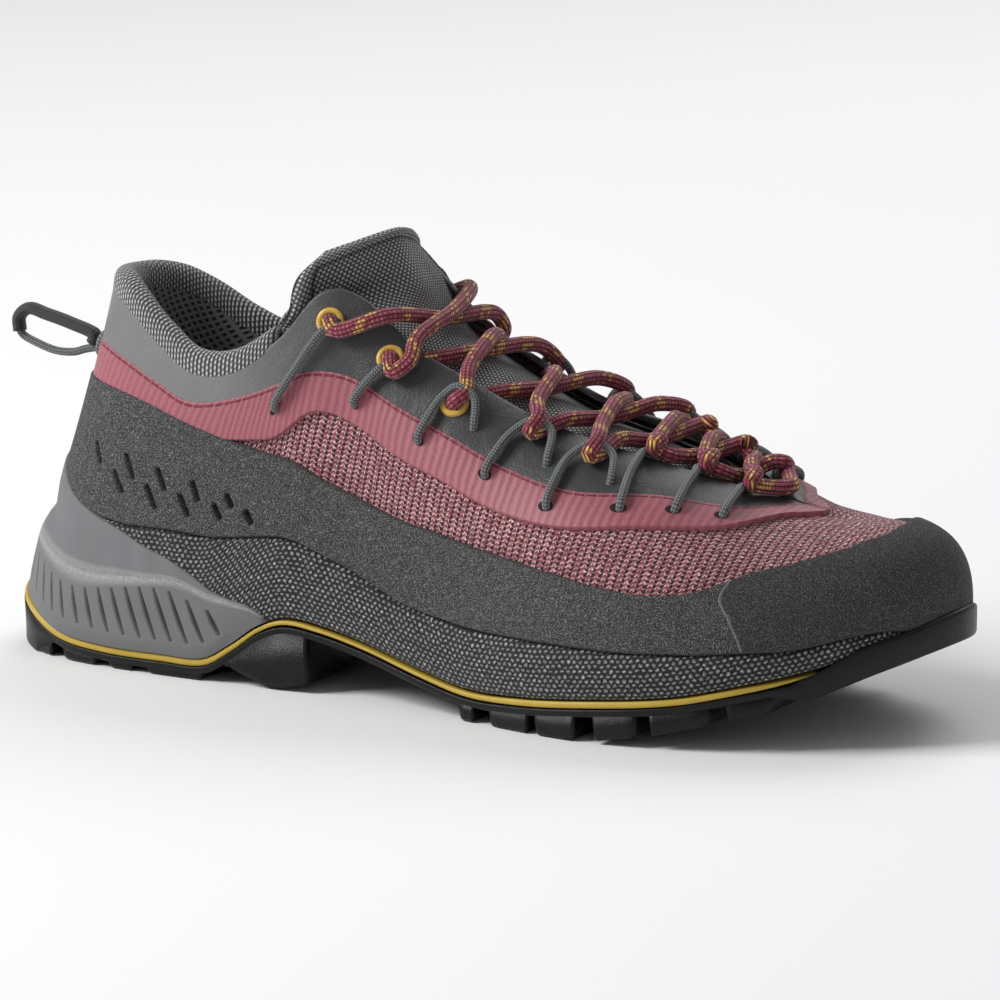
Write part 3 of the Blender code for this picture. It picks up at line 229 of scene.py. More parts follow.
def through(a, b, c, d, f):
    """Point at share f of the way from b to c, on a curve through all four."""
    return 0.5 * (2 * b + (c - a) * f + (2 * a - 5 * b + 4 * c - d) * f ** 2
                  + (3 * b - a - 3 * c + d) * f ** 3)


def smooth(rows, x):
    """Second column at x, on a curve through the rows."""
    xs, ys = np.asarray(rows, float).T[:2]
    ends = np.clip(np.arange(len(xs))[:, None] + (-1, 1), 0, len(xs) - 1)
    slope = (ys[ends[:, 1]] - ys[ends[:, 0]]) / (xs[ends[:, 1]] - xs[ends[:, 0]])
    i = np.clip(np.searchsorted(xs, x) - 1, 0, len(xs) - 2)
    span = xs[i + 1] - xs[i]
    f = np.clip((x - xs[i]) / span, 0, 1)
    return ((2 * f ** 3 - 3 * f ** 2 + 1) * ys[i] + (f ** 3 - 2 * f ** 2 + f) * span * slope[i]
            + (3 * f ** 2 - 2 * f ** 3) * ys[i + 1] + (f ** 3 - f ** 2) * span * slope[i + 1])


def spline(rows, r):
    """Rows at r, on a closed curve through the rows."""
    i = np.floor(r).astype(int)
    f = (r - i)[:, None]
    a, b, c, d = (rows[(i + k) % len(rows)] for k in (-1, 0, 1, 2))
    return through(a, b, c, d, f)


def ground(x):
    """Height of the worn tread."""
    return np.maximum(smooth(GROUND, x / LENGTH), 0) * TOE_SPRING


def sole_line(x):
    """Height of the line between rubber and foam."""
    return np.maximum(smooth(SOLE_LINE, x / LENGTH) * ARCH_HEIGHT, ground(x) + 2.3)


HALF_GAP = 1.15               # from the sole line down to the rubber and up to the last
section_of = [k if k <= TOE else RING - k for k in range(RING)]
side_of = np.array([-1 if k <= TOE else 1 for k in range(RING)])
rows = LAST[section_of]
swing = 0.124 * np.clip((rows[:, 3] - 0.373) / 0.508, 0, 1)
ring_rows = np.stack([
    rows[:, 0] * LENGTH, np.where(side_of < 0, -rows[:, 1], rows[:, 2]) * HALF_BALL,
    rows[:, 3] * LENGTH, swing * HALF_BALL, side_of * rows[:, 4] * HALF_BALL,
    (rows[:, 5] + np.where(side_of > 0, rows[:, 10], 0)) * COLLAR_HEIGHT, rows[:, 6] * HALF_BALL,
    rows[:, 7] * COLLAR_HEIGHT, rows[:, 8] * HALF_BALL, rows[:, 9] * COLLAR_HEIGHT], axis=1)
LINE_ROWS = LINES[section_of]
STEPS, LEVELS = 800, 128
numbers = np.linspace(0, RING, STEPS + 1)
here = spline(ring_rows, numbers)
way = spline(ring_rows, numbers + 0.001)[:, :2] - spline(ring_rows, numbers - 0.001)[:, :2]
PLAN_NORMAL = np.stack([way[:, 1], -way[:, 0]], axis=1)
PLAN_NORMAL /= np.linalg.norm(PLAN_NORMAL, axis=1)[:, None]
gap = np.where((here[:, 4] > 0) == (numbers > TOE), here[:, 4], 0)
foot = np.stack([here[:, 0], here[:, 1], sole_line(here[:, 0]) + HALF_GAP], axis=1)
top = np.stack([here[:, 2], here[:, 3] + gap, here[:, 5]], axis=1)
over = here[:, 8:9] * PLAN_NORMAL
first = foot + np.concatenate([here[:, 6:7] * PLAN_NORMAL, here[:, 7:8]], axis=1)
ahead = 0.12 * np.maximum(PLAN_NORMAL[:, :1], 0) * here[:, 8:9]
second = top + np.concatenate([over, -here[:, 9:10] - ahead], axis=1)
t = np.linspace(0, 1, 65)[None, :, None]
curves = ((1 - t) ** 3 * foot[:, None] + 3 * (1 - t) ** 2 * t * first[:, None]
          + 3 * (1 - t) * t ** 2 * second[:, None] + t ** 3 * top[:, None])
walk = run_along(curves, 1)
GIRTH = walk[:, -1]
shares = np.linspace(0, 1, LEVELS + 1)
NET = np.array([[np.interp(shares * w[-1], w, curve[:, k]) for k in range(3)]
                for w, curve in zip(walk, curves)]).transpose(0, 2, 1)
along = np.roll(NET[:-1], -1, axis=0) - np.roll(NET[:-1], 1, axis=0)
along = np.concatenate([along, along[:1]])
upward = np.gradient(NET, axis=1)
NORMAL = np.cross(along, upward)
NORMAL /= np.linalg.norm(NORMAL, axis=2)[:, :, None]
NORMAL = NORMAL[:, np.clip(np.arange(LEVELS + 1), 4, LEVELS - 5)]
# Distance along each level from mid foot on its own side, for weaves that stay upright
STRIDE = run_along(NET)
MID_FOOT = 12                 # section where the weaves start
STRIDE = np.where((numbers <= TOE)[:, None], STRIDE - STRIDE[STEPS * MID_FOOT // RING],
                  STRIDE[STEPS * (RING - MID_FOOT) // RING] - STRIDE)


def sample(table, r, g):
    """Value of a net at places (r, g)."""
    a = np.mod(r, RING) * (STEPS / RING)
    b = np.clip(g, 0, 1) * LEVELS
    i = np.floor(a).astype(int)
    j = np.minimum(np.floor(b).astype(int), LEVELS - 1)
    a, b = a - i, b - j
    if table.ndim == 3:
        a, b = a[..., None], b[..., None]
    return ((table[i, j] * (1 - a) + table[(i + 1) % (STEPS + 1), j] * a) * (1 - b)
            + (table[i, j + 1] * (1 - a) + table[(i + 1) % (STEPS + 1), j + 1] * a) * b)


def from_heel(r):
    """Sections from the back of the heel, on either side."""
    return np.minimum(np.mod(r, RING), RING - np.mod(r, RING))


def girth(r):
    """Length in mm from the sole edge up to the top of the section."""
    return np.interp(np.mod(r, RING), numbers, GIRTH)


CROWN_SECTION, CROWN_SHARE = 16.6, 0.93     # where both sides' directions begin to blend


def skin(r, g, out=0.0):
    """Points at distance out from the last, at places (r, g). Past g = 1 they go straight on."""
    r, g, out = np.broadcast_arrays(np.asarray(r, float), np.asarray(g, float),
                                    np.asarray(out, float))
    normal = sample(NORMAL, r, g)
    blend = np.clip((g - CROWN_SHARE) / (1 - CROWN_SHARE), 0, 1) * 0.5
    blend = np.where(from_heel(r) >= CROWN_SECTION, blend, 0)[..., None]
    normal = normal * (1 - blend) + sample(NORMAL, RING - r, g) * blend
    normal /= np.linalg.norm(normal, axis=-1)[..., None]
    past = np.maximum(g - 1, 0) * girth(r)
    up = sample(NET, r, np.ones_like(g)) - sample(NET, r, np.full_like(g, 0.96))
    up /= np.linalg.norm(up, axis=-1)[..., None]
    return sample(NET, r, g) + normal * out[..., None] + up * past[..., None]


def weave_map(r, g):
    """The weave's place in mm at (r, g): along the shoe, and up."""
    return np.stack([sample(STRIDE, r, g), g * girth(r)], axis=2)


def line(r, column):
    """Girth share of a panel edge (0 foot to 4 band_top) at r."""
    shape = np.shape(r)
    return spline(LINE_ROWS, np.atleast_1d(np.asarray(r, float)).ravel())[:, column].reshape(shape)


def outline(r, out=0.0):
    """Points (x, y) of the sole edge at r, moved outwards."""
    place, normal = (np.stack([np.interp(np.mod(r, RING), numbers, table[:, k]) for k in (0, 1)],
                              axis=-1) for table in (here, PLAN_NORMAL))
    return place + normal * np.asarray(out)[..., None]


def loft(name, points, thread=None, closed=False, **marks):
    """Mesh over a net of points: a bent grid, whose meeting edges are welded. thread is
    its weave map in mm, and marks are values for its looks, one a point."""
    columns, rows = points.shape[:2]
    work = bmesh.new()
    bmesh.ops.create_grid(work, x_segments=columns - 1, y_segments=rows - 1, size=1)
    flat = points.transpose(1, 0, 2).reshape(-1, 3)
    for vert, place in zip(work.verts, (flat - (HEEL_SEAT, 0, 0)) * MM):
        vert.co = place
    if thread is not None:
        layer = work.loops.layers.uv.new("Thread")
        woven = thread.transpose(1, 0, 2).reshape(-1, 2)
        work.verts.index_update()
        for face in work.faces:
            for corner in face.loops:
                corner[layer].uv = woven[corner.vert.index]
    for key, values in marks.items():
        layer = work.verts.layers.float.new(key)
        for vert, value in zip(work.verts, np.broadcast_to(values, (columns, rows)).T.ravel()):
            vert[layer] = value
    bmesh.ops.remove_doubles(work, verts=work.verts, dist=0.002 * MM)
    if closed:
        bmesh.ops.recalc_face_normals(work, faces=work.faces)
    mesh = bpy.data.meshes.new(name)
    work.to_mesh(mesh)
    work.free()
    mesh.shade_smooth()
    obj = bpy.data.objects.new(name, mesh)
    scene.collection.objects.link(obj)
    return obj


def dress(obj, finish, slot, *nodes):
    """Gives a piece its material and lets it stand for CAD nodes."""
    obj.data.materials.clear()
    obj.data.materials.append(finish)
    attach(obj, "root")
    if nodes:
        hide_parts(*nodes)
    return obj


PITCH = 13.2                  # millimetres from one section to the next, along the side


ROLL_STEPS = np.array((0.0, 0.06, 0.2, 0.45, 0.75, 1.0))    # rows of points over a rolled edge


def rounded(share):
    """Height of a rounded edge, at shares of its width from the rim inwards."""
    return np.sqrt(1 - (1 - np.clip(share, 0, 1)) ** 2)


def patch(r, low, high, under, face, roll=0.9, rows=24, ends=(), relief=None, lean=None):
    """Points, weave map and places (r, g, distance from the edge) of a panel between two
    girth lines. Its edges roll down from face to under over a width of roll; ends are its
    first and last r, where it rolls too. relief adds height, lean moves places along."""
    size = (high - low) * girth(r)
    reach = np.minimum(roll, size / 2)
    steps = ROLL_STEPS[:-1]
    middle = np.linspace(0, 1, rows)
    down = np.concatenate([steps[None, :] * reach[:, None],
                           reach[:, None] + (size - 2 * reach)[:, None] * middle[None, :],
                           size[:, None] - steps[None, ::-1] * reach[:, None]], axis=1)
    g = low[:, None] + down / girth(r)[:, None]
    grid = np.repeat(r[:, None], g.shape[1], axis=1)
    height = np.ones_like(g)
    share = (g - low[:, None]) / (high - low)[:, None]
    inset = np.minimum(down, size[:, None] - down)
    for distance in [down, size[:, None] - down] + [np.abs(grid - end) * PITCH for end in ends]:
        height = height * rounded(distance / roll)
    if lean is not None:
        bent = lean(grid, g)
        g = (g + (line(bent, 1) - line(grid, 1)) * (1 - share)
             + (line(bent, 2) - line(grid, 2)) * share)
        grid = bent
    out = under + (face - under) * height
    if relief is not None:
        out = out + relief(grid, g) * height
    thread = np.stack([sample(STRIDE, grid, g), g * girth(r)[:, None]], axis=2)
    return skin(grid, g, out), thread, (grid, g, inset)


def both_ways(end, step, roll=0.9):
    """Section numbers from -end by the heel to end, closer at both ends."""
    close = end - ROLL_STEPS * roll / PITCH
    run = np.linspace(close[-1], -close[-1], int(2 * close[-1] * PITCH / step))
    return np.concatenate([-close, run[1:-1][::-1], close[::-1]])


# Sole: black rubber outsole with its lugs and the bumper that turns up over the toe. One
# moulding, its plate a ring of points drawn in to a spine.
def ramp(tree, value, low, high, *ends, **settings):
    """Goes from 0 to 1, or between the two ends given, as value goes from low to high."""
    return add(tree, "MapRange", value, low, high, *(ends or (0.0, 1.0)), **settings)


# Near-black dull rubber, greyer with dust in patches, with fine pores
rubber, tree = look("moulded_rubber", roughness=0.52, specular_ior_level=0.28)
place = add(tree, "TexCoord").outputs["Object"]
cloud = noise(tree, place, 90.0, 5.0)
pores = noise(tree, place, 2600.0, 2.0)
dust = ramp(tree, cloud, 0.42, 0.75)
tint = mix(tree, dust, "#0a0a0a", "#171717")
finish_look(tree, tint, pores, 0.12, ramp(tree, cloud, 0.3, 0.7, 0.3, 0.48))

BUMPER_START = 16.95
ring = np.linspace(0, RING, 641)
edges = outline(ring[:-1])
half = len(ring) // 2


def middle_y(x):
    """Half way between the two edges at x."""
    lateral = edges[:half + 1]
    medial = edges[half:][::-1]
    return (np.interp(x, lateral[:, 0], lateral[:, 1])
            + np.interp(x, medial[:, 0], medial[:, 1])) / 2


def plate(r, out, heights):
    """Rings of points from the spine out to the edge, one for each row of heights: share
    of the way, distance beyond, height at x."""
    edge = outline(r, out)
    spine = np.clip(edge[:, 0], 14, 250)
    spine = np.stack([spine, middle_y(spine)], axis=1)
    rows = []
    for share, extra, height in heights:
        plan = spine + (edge - spine) * share
        plan = plan + (outline(r, out + extra) - edge) * (share > 0.9)
        rows.append(np.stack([plan[:, 0], plan[:, 1], height(plan[:, 0])], axis=1))
    return np.stack(rows, axis=1)


def rubber_top(x):
    return sole_line(x) - HALF_GAP


def rubber_bottom(x):
    """Underside of the plate, down on the ground at the heel's back and under the toe."""
    solid = np.maximum(np.clip((0.078 - x / LENGTH) / 0.03, 0, 1),
                       np.clip((x / LENGTH - 0.882) / 0.035, 0, 1))
    return (rubber_top(x) - 2.0) * (1 - solid) + ground(x) * solid


PLATE = ((0.0, 0, rubber_bottom), (0.4, 0, rubber_bottom), (0.75, 0, rubber_bottom),
         (0.97, 0, rubber_bottom), (1.0, -0.25, rubber_bottom),
         (1.0, 0.0, lambda x: rubber_bottom(x) + 0.3),
         (1.0, 0.1, lambda x: (rubber_bottom(x) + rubber_top(x)) / 2),
         (1.0, 0.35, lambda x: rubber_top(x) - 0.35), (1.0, 0.1, rubber_top),
         (0.92, 0, rubber_top), (0.5, 0, rubber_top), (0.0, 0, rubber_top))
dress(loft("outsole_plate", plate(ring, np.full(len(ring), 1.1), PLATE)),
      rubber, "outsole_rubber", "outsole")


def edge_y(x, side):
    """Where the plate's edge is at x, on the lateral (-1) or the medial side (1)."""
    line_of = edges[:half + 1] if side < 0 else edges[half:][::-1]
    return np.interp(x, line_of[:, 0], line_of[:, 1]) + side * 1.1


BRAKE_LUG = (0.283, 0.382)
LUG_TAPER = 0.8


def lug(name, start, end, near, far):
    """A lug with rounded edges; near and far run from -1 (lateral edge) to 1. The braking
    lug's lower face slopes up at both ends."""
    marks = np.array((0.0, 0.0, 0.25, 0.8))
    draw = np.array((0.0, 0.9, 0.97, 1.0))
    xs = np.concatenate([start * LENGTH + marks,
                         np.linspace(start * LENGTH + 1.6, end * LENGTH - 1.6, 7),
                         (end * LENGTH - marks)[::-1]])
    draw = np.concatenate([draw, np.ones(7), draw[::-1]])
    left, right = edge_y(xs, -1), edge_y(xs, 1)
    centre, width = (left + right) / 2, (right - left) / 2
    low, high = centre + near * width, centre + far * width
    top_z = rubber_bottom(xs) + 1.0
    foot_z = ground(xs)
    if start == BRAKE_LUG[0]:
        foot_z = (foot_z + 2.4 * np.clip((xs / LENGTH - 0.340) / 0.044, 0, 1)
                  + 5.0 * np.clip((0.338 - xs / LENGTH) / 0.055, 0, 1))
    foot_z = np.minimum(foot_z, top_z - 1.5)
    tall = top_z - foot_z
    side_in = [LUG_TAPER * (0.4 if outer else 1.0) for outer in (near == -1, far == 1)]
    # Which side (0 near, 2 far, 1 between, the halves just inside), share up, share in
    profile = ((0, 1, 0), (0, 0.3, 0.75), (0, 0.12, 0.95), (0.5, 0, 1.0), (1, 0, 1.0),
               (-0.5, 0, 1.0), (2, 0.12, 0.95), (2, 0.3, 0.75), (2, 1, 0), (0, 1, 0))
    rows = []
    for where, up, inset in profile:
        if where == 0:
            y = low + side_in[0] * inset
        elif where == 2:
            y = high - side_in[1] * inset
        elif where == 1:
            y = (low + high) / 2
        else:
            y = low + side_in[0] + 0.35 if where > 0 else high - side_in[1] - 0.35
        rows.append(np.stack([xs, y, foot_z + tall * up], axis=1))
    points = np.stack(rows, axis=1)
    heart = points[:, :-1].mean(axis=1, keepdims=True)
    heart[:, :, 2] = (foot_z + tall * 0.5)[:, None]
    points = heart + (points - heart) * draw[:, None, None]
    slope = np.clip((points[:, :, 2] - foot_z[:, None]) / tall[:, None], 0, 1)
    lean = np.where(np.arange(len(xs)) < len(xs) / 2, 1, -1)[:, None] * LUG_TAPER * (1 - slope)
    points[:, :, 0] += lean * (np.abs(np.arange(len(xs)) - len(xs) / 2)[:, None] > 3)
    return loft(name, points)


# Lugs: start and end as shares of the length
SIDE_LUGS = ((0.030, 0.075), (0.088, 0.135), (0.148, 0.180), (0.194, 0.262), (0.560, 0.582),
             (0.598, 0.648), (0.653, 0.702), (0.718, 0.766), (0.775, 0.833), (0.845, 0.886))
MIDDLE_LUGS = ((0.055, 0.095), (0.173, 0.205), (0.218, 0.258), (0.575, 0.615), (0.628, 0.668),
               (0.681, 0.721), (0.734, 0.774), (0.790, 0.830))
lugs = [(*lug_ends, *sides) for ends, both_sides in
        ((SIDE_LUGS, ((-1, -0.60), (0.60, 1))), (MIDDLE_LUGS, ((-0.50, -0.05), (0.05, 0.50))))
        for sides in both_sides for lug_ends in ends]
lugs += [(0.108, 0.160, -0.50, 0.50), (*BRAKE_LUG, -1, -0.30), (*BRAKE_LUG, 0.30, 1)]
for number, row in enumerate(lugs):
    dress(lug(f"lug_{number}", *row), rubber, "outsole_rubber")

# How far the bumper's lip stands over the sole line, along the shoe (shares of the length
# and of the arch height)
BUMPER = ((0.86, 0.03), (0.915, 0.05), (0.93, 0.09), (0.952, 0.17), (0.976, 0.20), (0.99, 0.24),
          (1.01, 0.30))
span = np.linspace(BUMPER_START, RING - BUMPER_START, 121)
base = outline(span)
taper = np.clip(np.minimum(span - BUMPER_START, RING - BUMPER_START - span) / 1.3, 0, 1)
taper = taper * (2 - taper)
lip = sole_line(base[:, 0]) - 0.9 + (1.75
                                     + smooth(BUMPER, base[:, 0] / LENGTH) * ARCH_HEIGHT) * taper
floor_z = rubber_bottom(base[:, 0])
rows = []
for out, up in ((-2.0, 0.10), (1.4, 0.0), (2.2, 0.03), (2.55, 0.12), (2.6, 0.5), (2.6, 0.88),
                (2.4, 0.96), (1.9, 1.0), (1.3, 1.0), (1.0, 0.95), (0.9, 0.6), (-2.0, 0.5),
                (-2.0, 0.10)):
    plan = outline(span, out * taper + 1.0 * (1 - taper) * (out > 0))
    rows.append(np.stack([plan[:, 0], plan[:, 1], floor_z + (lip - floor_z) * up], axis=1))
dress(loft("toe_bumper", np.stack(rows, axis=1)), rubber, "outsole_rubber")

# Stripe: a mustard rubber line moulded between the outsole and the foam, thinner along
# the arch, gone under the bumper.

# Plain mustard rubber with a faint mottle
mustard, tree = look("mustard_rubber", roughness=0.5)
place = add(tree, "TexCoord").outputs["Object"]
cloud = noise(tree, place, 120.0, 3.0)
finish_look(tree, mix(tree, cloud, "#b3932f", "#cbae45"), cloud, 0.1)
# Half its height in mm, along the shoe
STRIPE = ((-0.01, 1.0), (0.28, 0.98), (0.34, 0.62), (0.45, 0.45), (0.56, 0.62), (0.66, 0.85),
          (0.84, 0.80), (0.88, 0.62), (0.915, 0.20), (0.93, 0.03), (0.95, 0.03))
STRIPE_END = 17.4
span = both_ways(STRIPE_END, 1.6)
x = outline(span)[:, 0]
thick = smooth(STRIPE, x / LENGTH)
rows = []
for out, up in ((-3.0, -1.0), (0.7, -1.0), (1.15, -0.85), (1.3, -0.3), (1.3, 0.3), (1.15, 0.85),
                (0.7, 1.0), (-3.0, 1.0)):
    plan = outline(span, out - 0.9 * np.clip((np.abs(span) - STRIPE_END + 1.0) / 0.9, 0, 1))
    rows.append(np.stack([plan[:, 0], plan[:, 1], sole_line(x) + up * thick], axis=1))
dress(loft("stripe", np.stack(rows, axis=1)), mustard, "stripe_rubber", "sole_stripe")

# Upper: one rose knit shell over the foot, seen between the rand and the side band and
# over the toes; inside it is the grey lining side.
def calc(tree, operation, *values):
    return add(tree, "Math", *values, operation=operation)


def times(tree, a, b):
    return calc(tree, "MULTIPLY", a, b)


def plus(tree, a, b):
    return calc(tree, "ADD", a, b)


def wave(tree, value, size=None):
    """Rises from 0 to 0.5 and falls again, once in every size of value."""
    turns = value if size is None else calc(tree, "DIVIDE", value, size)
    return calc(tree, "PINGPONG", turns, 0.5)


def soft(tree, *values):
    """A ramp with a smooth start and end."""
    return ramp(tree, *values, interpolation_type="SMOOTHSTEP")


def thread_place(tree):
    return add(tree, "UVMap", uv_map="Thread")


def woven(tree):
    """Place in the weave in mm: along the shoe, and up."""
    return add(tree, "SeparateXYZ", thread_place(tree)).outputs[:2]


# Rose knit: leaning columns of stitches with dark gaps between them and a painted highlight on
# their tops
knit, tree = look("rose_knit", roughness=0.85, sheen_weight=0.25, sheen_roughness=0.5)
u, v = woven(tree)
fuzz = noise(tree, thread_place(tree), 0.8, 3.0)
sway = ramp(tree, fuzz, 0.0, 1.0, -0.45, 0.45)
slant = times(tree, v, -0.2)
leant = plus(tree, plus(tree, u, slant), times(tree, sway, 0.8))
column = calc(tree, "DIVIDE", leant, 2.15)
course = calc(tree, "DIVIDE", plus(tree, v, sway), 1.35)
across = wave(tree, column)
shift = times(tree, calc(tree, "ROUND", column), 0.5)
climb = plus(tree, plus(tree, course, shift), times(tree, across, 1.6))
stitch = wave(tree, climb)
rib = soft(tree, across, 0.24, 0.38, 1.0, 0.0)
loop = soft(tree, stitch, 0.08, 0.36, 0.35, 1.0)
bar = ramp(tree, wave(tree, course), 0.3, 0.42, 0.0, 0.75)
height = calc(tree, "MAXIMUM", times(tree, rib, loop), bar)
cell = add(tree, "CombineXYZ", calc(tree, "FLOOR", times(tree, column, 2.0)),
           calc(tree, "FLOOR", climb))
chance = add(tree, "TexWhiteNoise", cell)
yarn = mix(tree, chance, "#a94657", "#dc8b93")
open_ = mix(tree, height, "#300d15", yarn)
# Painted highlight: near-white on the stitch tops, where light would catch them
top_highlight = times(tree, ramp(tree, stitch, 0.34, 0.46), ramp(tree, across, 0.06, 0.16))
top_highlight = times(tree, top_highlight, ramp(tree, height, 0.35, 0.8))
shine = times(tree, top_highlight, ramp(tree, chance, 0.1, 0.5, 0.5, 1.0))
finish_look(tree, mix(tree, shine, open_, "#fdeeeb"), height, 0.8)

# Dark mesh with a grey check
lining, tree = look("lining_mesh", roughness=0.9, sheen_weight=0.2)
u, v = woven(tree)
a = wave(tree, u, 3.4)
b = wave(tree, v, 2.6)
cell = wave(tree, plus(tree, a, b))
grid = soft(tree, cell, 0.12, 0.38)
finish_look(tree, mix(tree, grid, "#2c2b2b", "#858484"), grid, 0.5)

whole = np.linspace(0, RING, 601)
levels = np.linspace(0.02, 1.0, 60)
places = np.meshgrid(whole, levels, indexing="ij")
dress(loft("knit_shell", skin(*places, -0.8), weave_map(*places)), knit, "rose_knit", "upper")
levels = np.linspace(1.0, 0.08, 40)
places = np.meshgrid(whole[::2], levels, indexing="ij")
dress(loft("knit_inside", skin(*places, -2.8), weave_map(*places)), lining, "rose_knit")

# Sole wrap: charcoal spacer mesh round the sole unit, padded, tucked under the rand.

# Charcoal mesh: staggered rows of grey knobs, some with a bright glint, over black holes
wrap_mesh, tree = look("spacer_mesh", roughness=0.8, sheen_weight=0.15)
u, v = woven(tree)
fuzz = noise(tree, thread_place(tree), 0.45, 2.0)
sway = ramp(tree, noise(tree, thread_place(tree), 0.7, 2.0), 0.0, 1.0, -0.8, 0.8)
row = calc(tree, "DIVIDE", plus(tree, v, sway), 1.2)
half_step = times(tree, calc(tree, "FLOOR", row), 0.5)
column = plus(tree, calc(tree, "DIVIDE", u, 1.7), half_step)
chance = add(tree, "TexWhiteNoise", add(tree, "CombineXYZ", calc(tree, "FLOOR", column),
                                        calc(tree, "FLOOR", row)))
a = wave(tree, column)
b = wave(tree, row)
off = add(tree, "VectorMath", add(tree, "CombineXYZ", calc(tree, "SUBTRACT", 0.5, a),
                                  calc(tree, "SUBTRACT", 0.5, b)), operation="LENGTH")
knob = soft(tree, off.outputs["Value"], 0.16, 0.46, 1.0, 0.0)
hairs = noise(tree, thread_place(tree), 2.6, 2.0)
dot = times(tree, knob, ramp(tree, hairs, 0.3, 0.6, 0.55, 1.0))
base_tint = mix(tree, dot, "#0a0a0a", "#858686")
glint = times(tree, ramp(tree, dot, 0.6, 1.0), ramp(tree, chance, 0.1, 1.0, 0.2, 1.0))
glint = times(tree, glint, ramp(tree, fuzz, 0.35, 0.6, 0.4, 1.0))
finish_look(tree, mix(tree, glint, base_tint, "#e2e4e4"), dot, 0.6)

# Upper edge of the heel cup, which lies over the wrap: section and girth share
CUP_END = 7.05
CUP_TOP = ((0.0, 0.455), (0.96, 0.439), (2.41, 0.400), (3.34, 0.390), (4.15, 0.380), (5.54, 0.306),
           (6.53, 0.138), (CUP_END, 0.02))
WRAP_END = 19.7
span = both_ways(WRAP_END, 1.6)
low = np.zeros_like(span)
high = line(span, 1)
# How far the padding stands out, from the heel to the toe
PUFF = ((0.0, 0.0), (3.0, 0.4), (6.0, 1.3), (9.0, 1.9), (13.0, 1.6), (16.0, 0.9), (19.0, 0.3),
        (20.0, 0.0))


def puffed(r, g):
    """How far the padding stands out at (r, g), with fine creases along its upper part."""
    near = from_heel(r)
    share = np.clip(g / line(r, 1), 0, 1)
    creases = 0.25 * np.sin(near * 9.0 + 5 * share) * np.clip(share * 3 - 1.6, 0, 1)
    swell = np.sin(math.pi * np.clip(share * 0.93 + 0.07, 0, 1)) ** 0.8
    return smooth(PUFF, near) * swell + creases


def under_cup(r, g):
    """The padding, pressed flat where the heel cup covers it."""
    near = from_heel(r)
    hidden = np.where(near < CUP_END, np.clip((smooth(CUP_TOP, near) - 0.03 - g) / 0.02, 0, 1), 0)
    return puffed(r, g) * (1 - hidden) - 0.9 * hidden


points, thread, _ = patch(span, low, high, under=-0.8, face=0.55, roll=1.2, rows=26,
                          ends=(-WRAP_END, WRAP_END), relief=under_cup)
dress(loft("wrap", points, thread), wrap_mesh, "wrap_mesh", "sole_wrap")

# Rand and toe cap: dark rubberised microfibre with a fine pale speckle, glued over knit
# and wrap; near the heel it has cut slots, their floors painted as the knit in shade.
def mark(tree, name):
    """A value that the mesh carries at its points."""
    return add(tree, "Attribute", attribute_name=name).outputs["Fac"]


def eased(share):
    return share * share * (3 - 2 * share)


def from_stroke(ax, ay, bx, by):
    """Share of the way along a stroke from the origin to b that lies nearest to a, and how
    far away that is."""
    share = np.clip((ax * bx + ay * by) / (bx * bx + by * by), 0, 1)
    return share, np.hypot(ax - bx * share, ay - by * share)


# Almost black, fine pale speckle, pale grey at the toe seam; painted shade in the slots and toe
# cap
skin_look, tree = look("rubberised_microfibre", roughness=0.78)
place = add(tree, "TexCoord").outputs["Object"]
speck = noise(tree, place, 3400.0, 2.0, 0.6)
cloud = noise(tree, place, 60.0, 3.0)
spots = ramp(tree, speck, 0.5, 0.66)
ground_tint = mix(tree, cloud, "#1e1e1e", "#282828")
# Painted shade: slot floors go near-black maroon, the knit's colour darkened as shade inside
slot_shade = mark(tree, "cut")
tint = mix(tree, spots, ground_tint, "#8a8a89")
seam_mark = mark(tree, "seam")
tint = mix(tree, seam_mark, tint, "#aeb1b0")
tint = mix(tree, slot_shade, tint, "#160b0d")
# Painted shade: the whole toe cap is darkened for the shade the light leaves on it
shade = mark(tree, "shade")
tint = mix(tree, times(tree, shade, 0.4), tint, "#161716")
finish_look(tree, tint, speck, 0.3)

TOE_SEAM = 15.7
# How far the seam leans towards the toe, in sections, up the girth
SEAM_LEAN = ((0.0, 0.5), (0.127, 0.36), (0.257, 0.0), (0.365, -0.26), (0.5, -0.1), (0.7, 0.0),
             (1.0, 0.0))
SLOT_DEPTH = 1.7
# Slots in the rand: section and girth share of the upper and the lower end
SLOTS = ((2.81, 0.577, 3.08, 0.539), (3.74, 0.607, 4.04, 0.557), (3.55, 0.540, 3.86, 0.499),
         (4.58, 0.622, 4.82, 0.569), (4.42, 0.552, 4.68, 0.498), (5.18, 0.560, 5.40, 0.497),
         (5.40, 0.612, 5.56, 0.553), (5.91, 0.530, 6.06, 0.475), (6.15, 0.548, 6.28, 0.495),
         (6.57, 0.442, 6.71, 0.383))


def slot_depth(r, g):
    """How far each place lies inside a slot, from 0 to 1."""
    near = from_heel(r)
    high = girth(r)
    inside = np.zeros_like(near)
    for r0, g0, r1, g1 in SLOTS:
        _, apart = from_stroke((near - r0) * PITCH, (g - g0) * high,
                               (r1 - r0) * PITCH, (g1 - g0) * high)
        inside = np.maximum(inside, np.clip((0.95 - 0.05 * r0 - apart) / 0.36, 0, 1))
    return inside


def leaned(r, g):
    """Moves the sections near the toe seam along with its lean."""
    near = from_heel(r)
    pull = smooth(SEAM_LEAN, g) * np.clip(1 - np.abs(near - TOE_SEAM) / 1.6, 0, 1)
    return r + np.where(np.mod(r, RING) < TOE, pull, -pull)


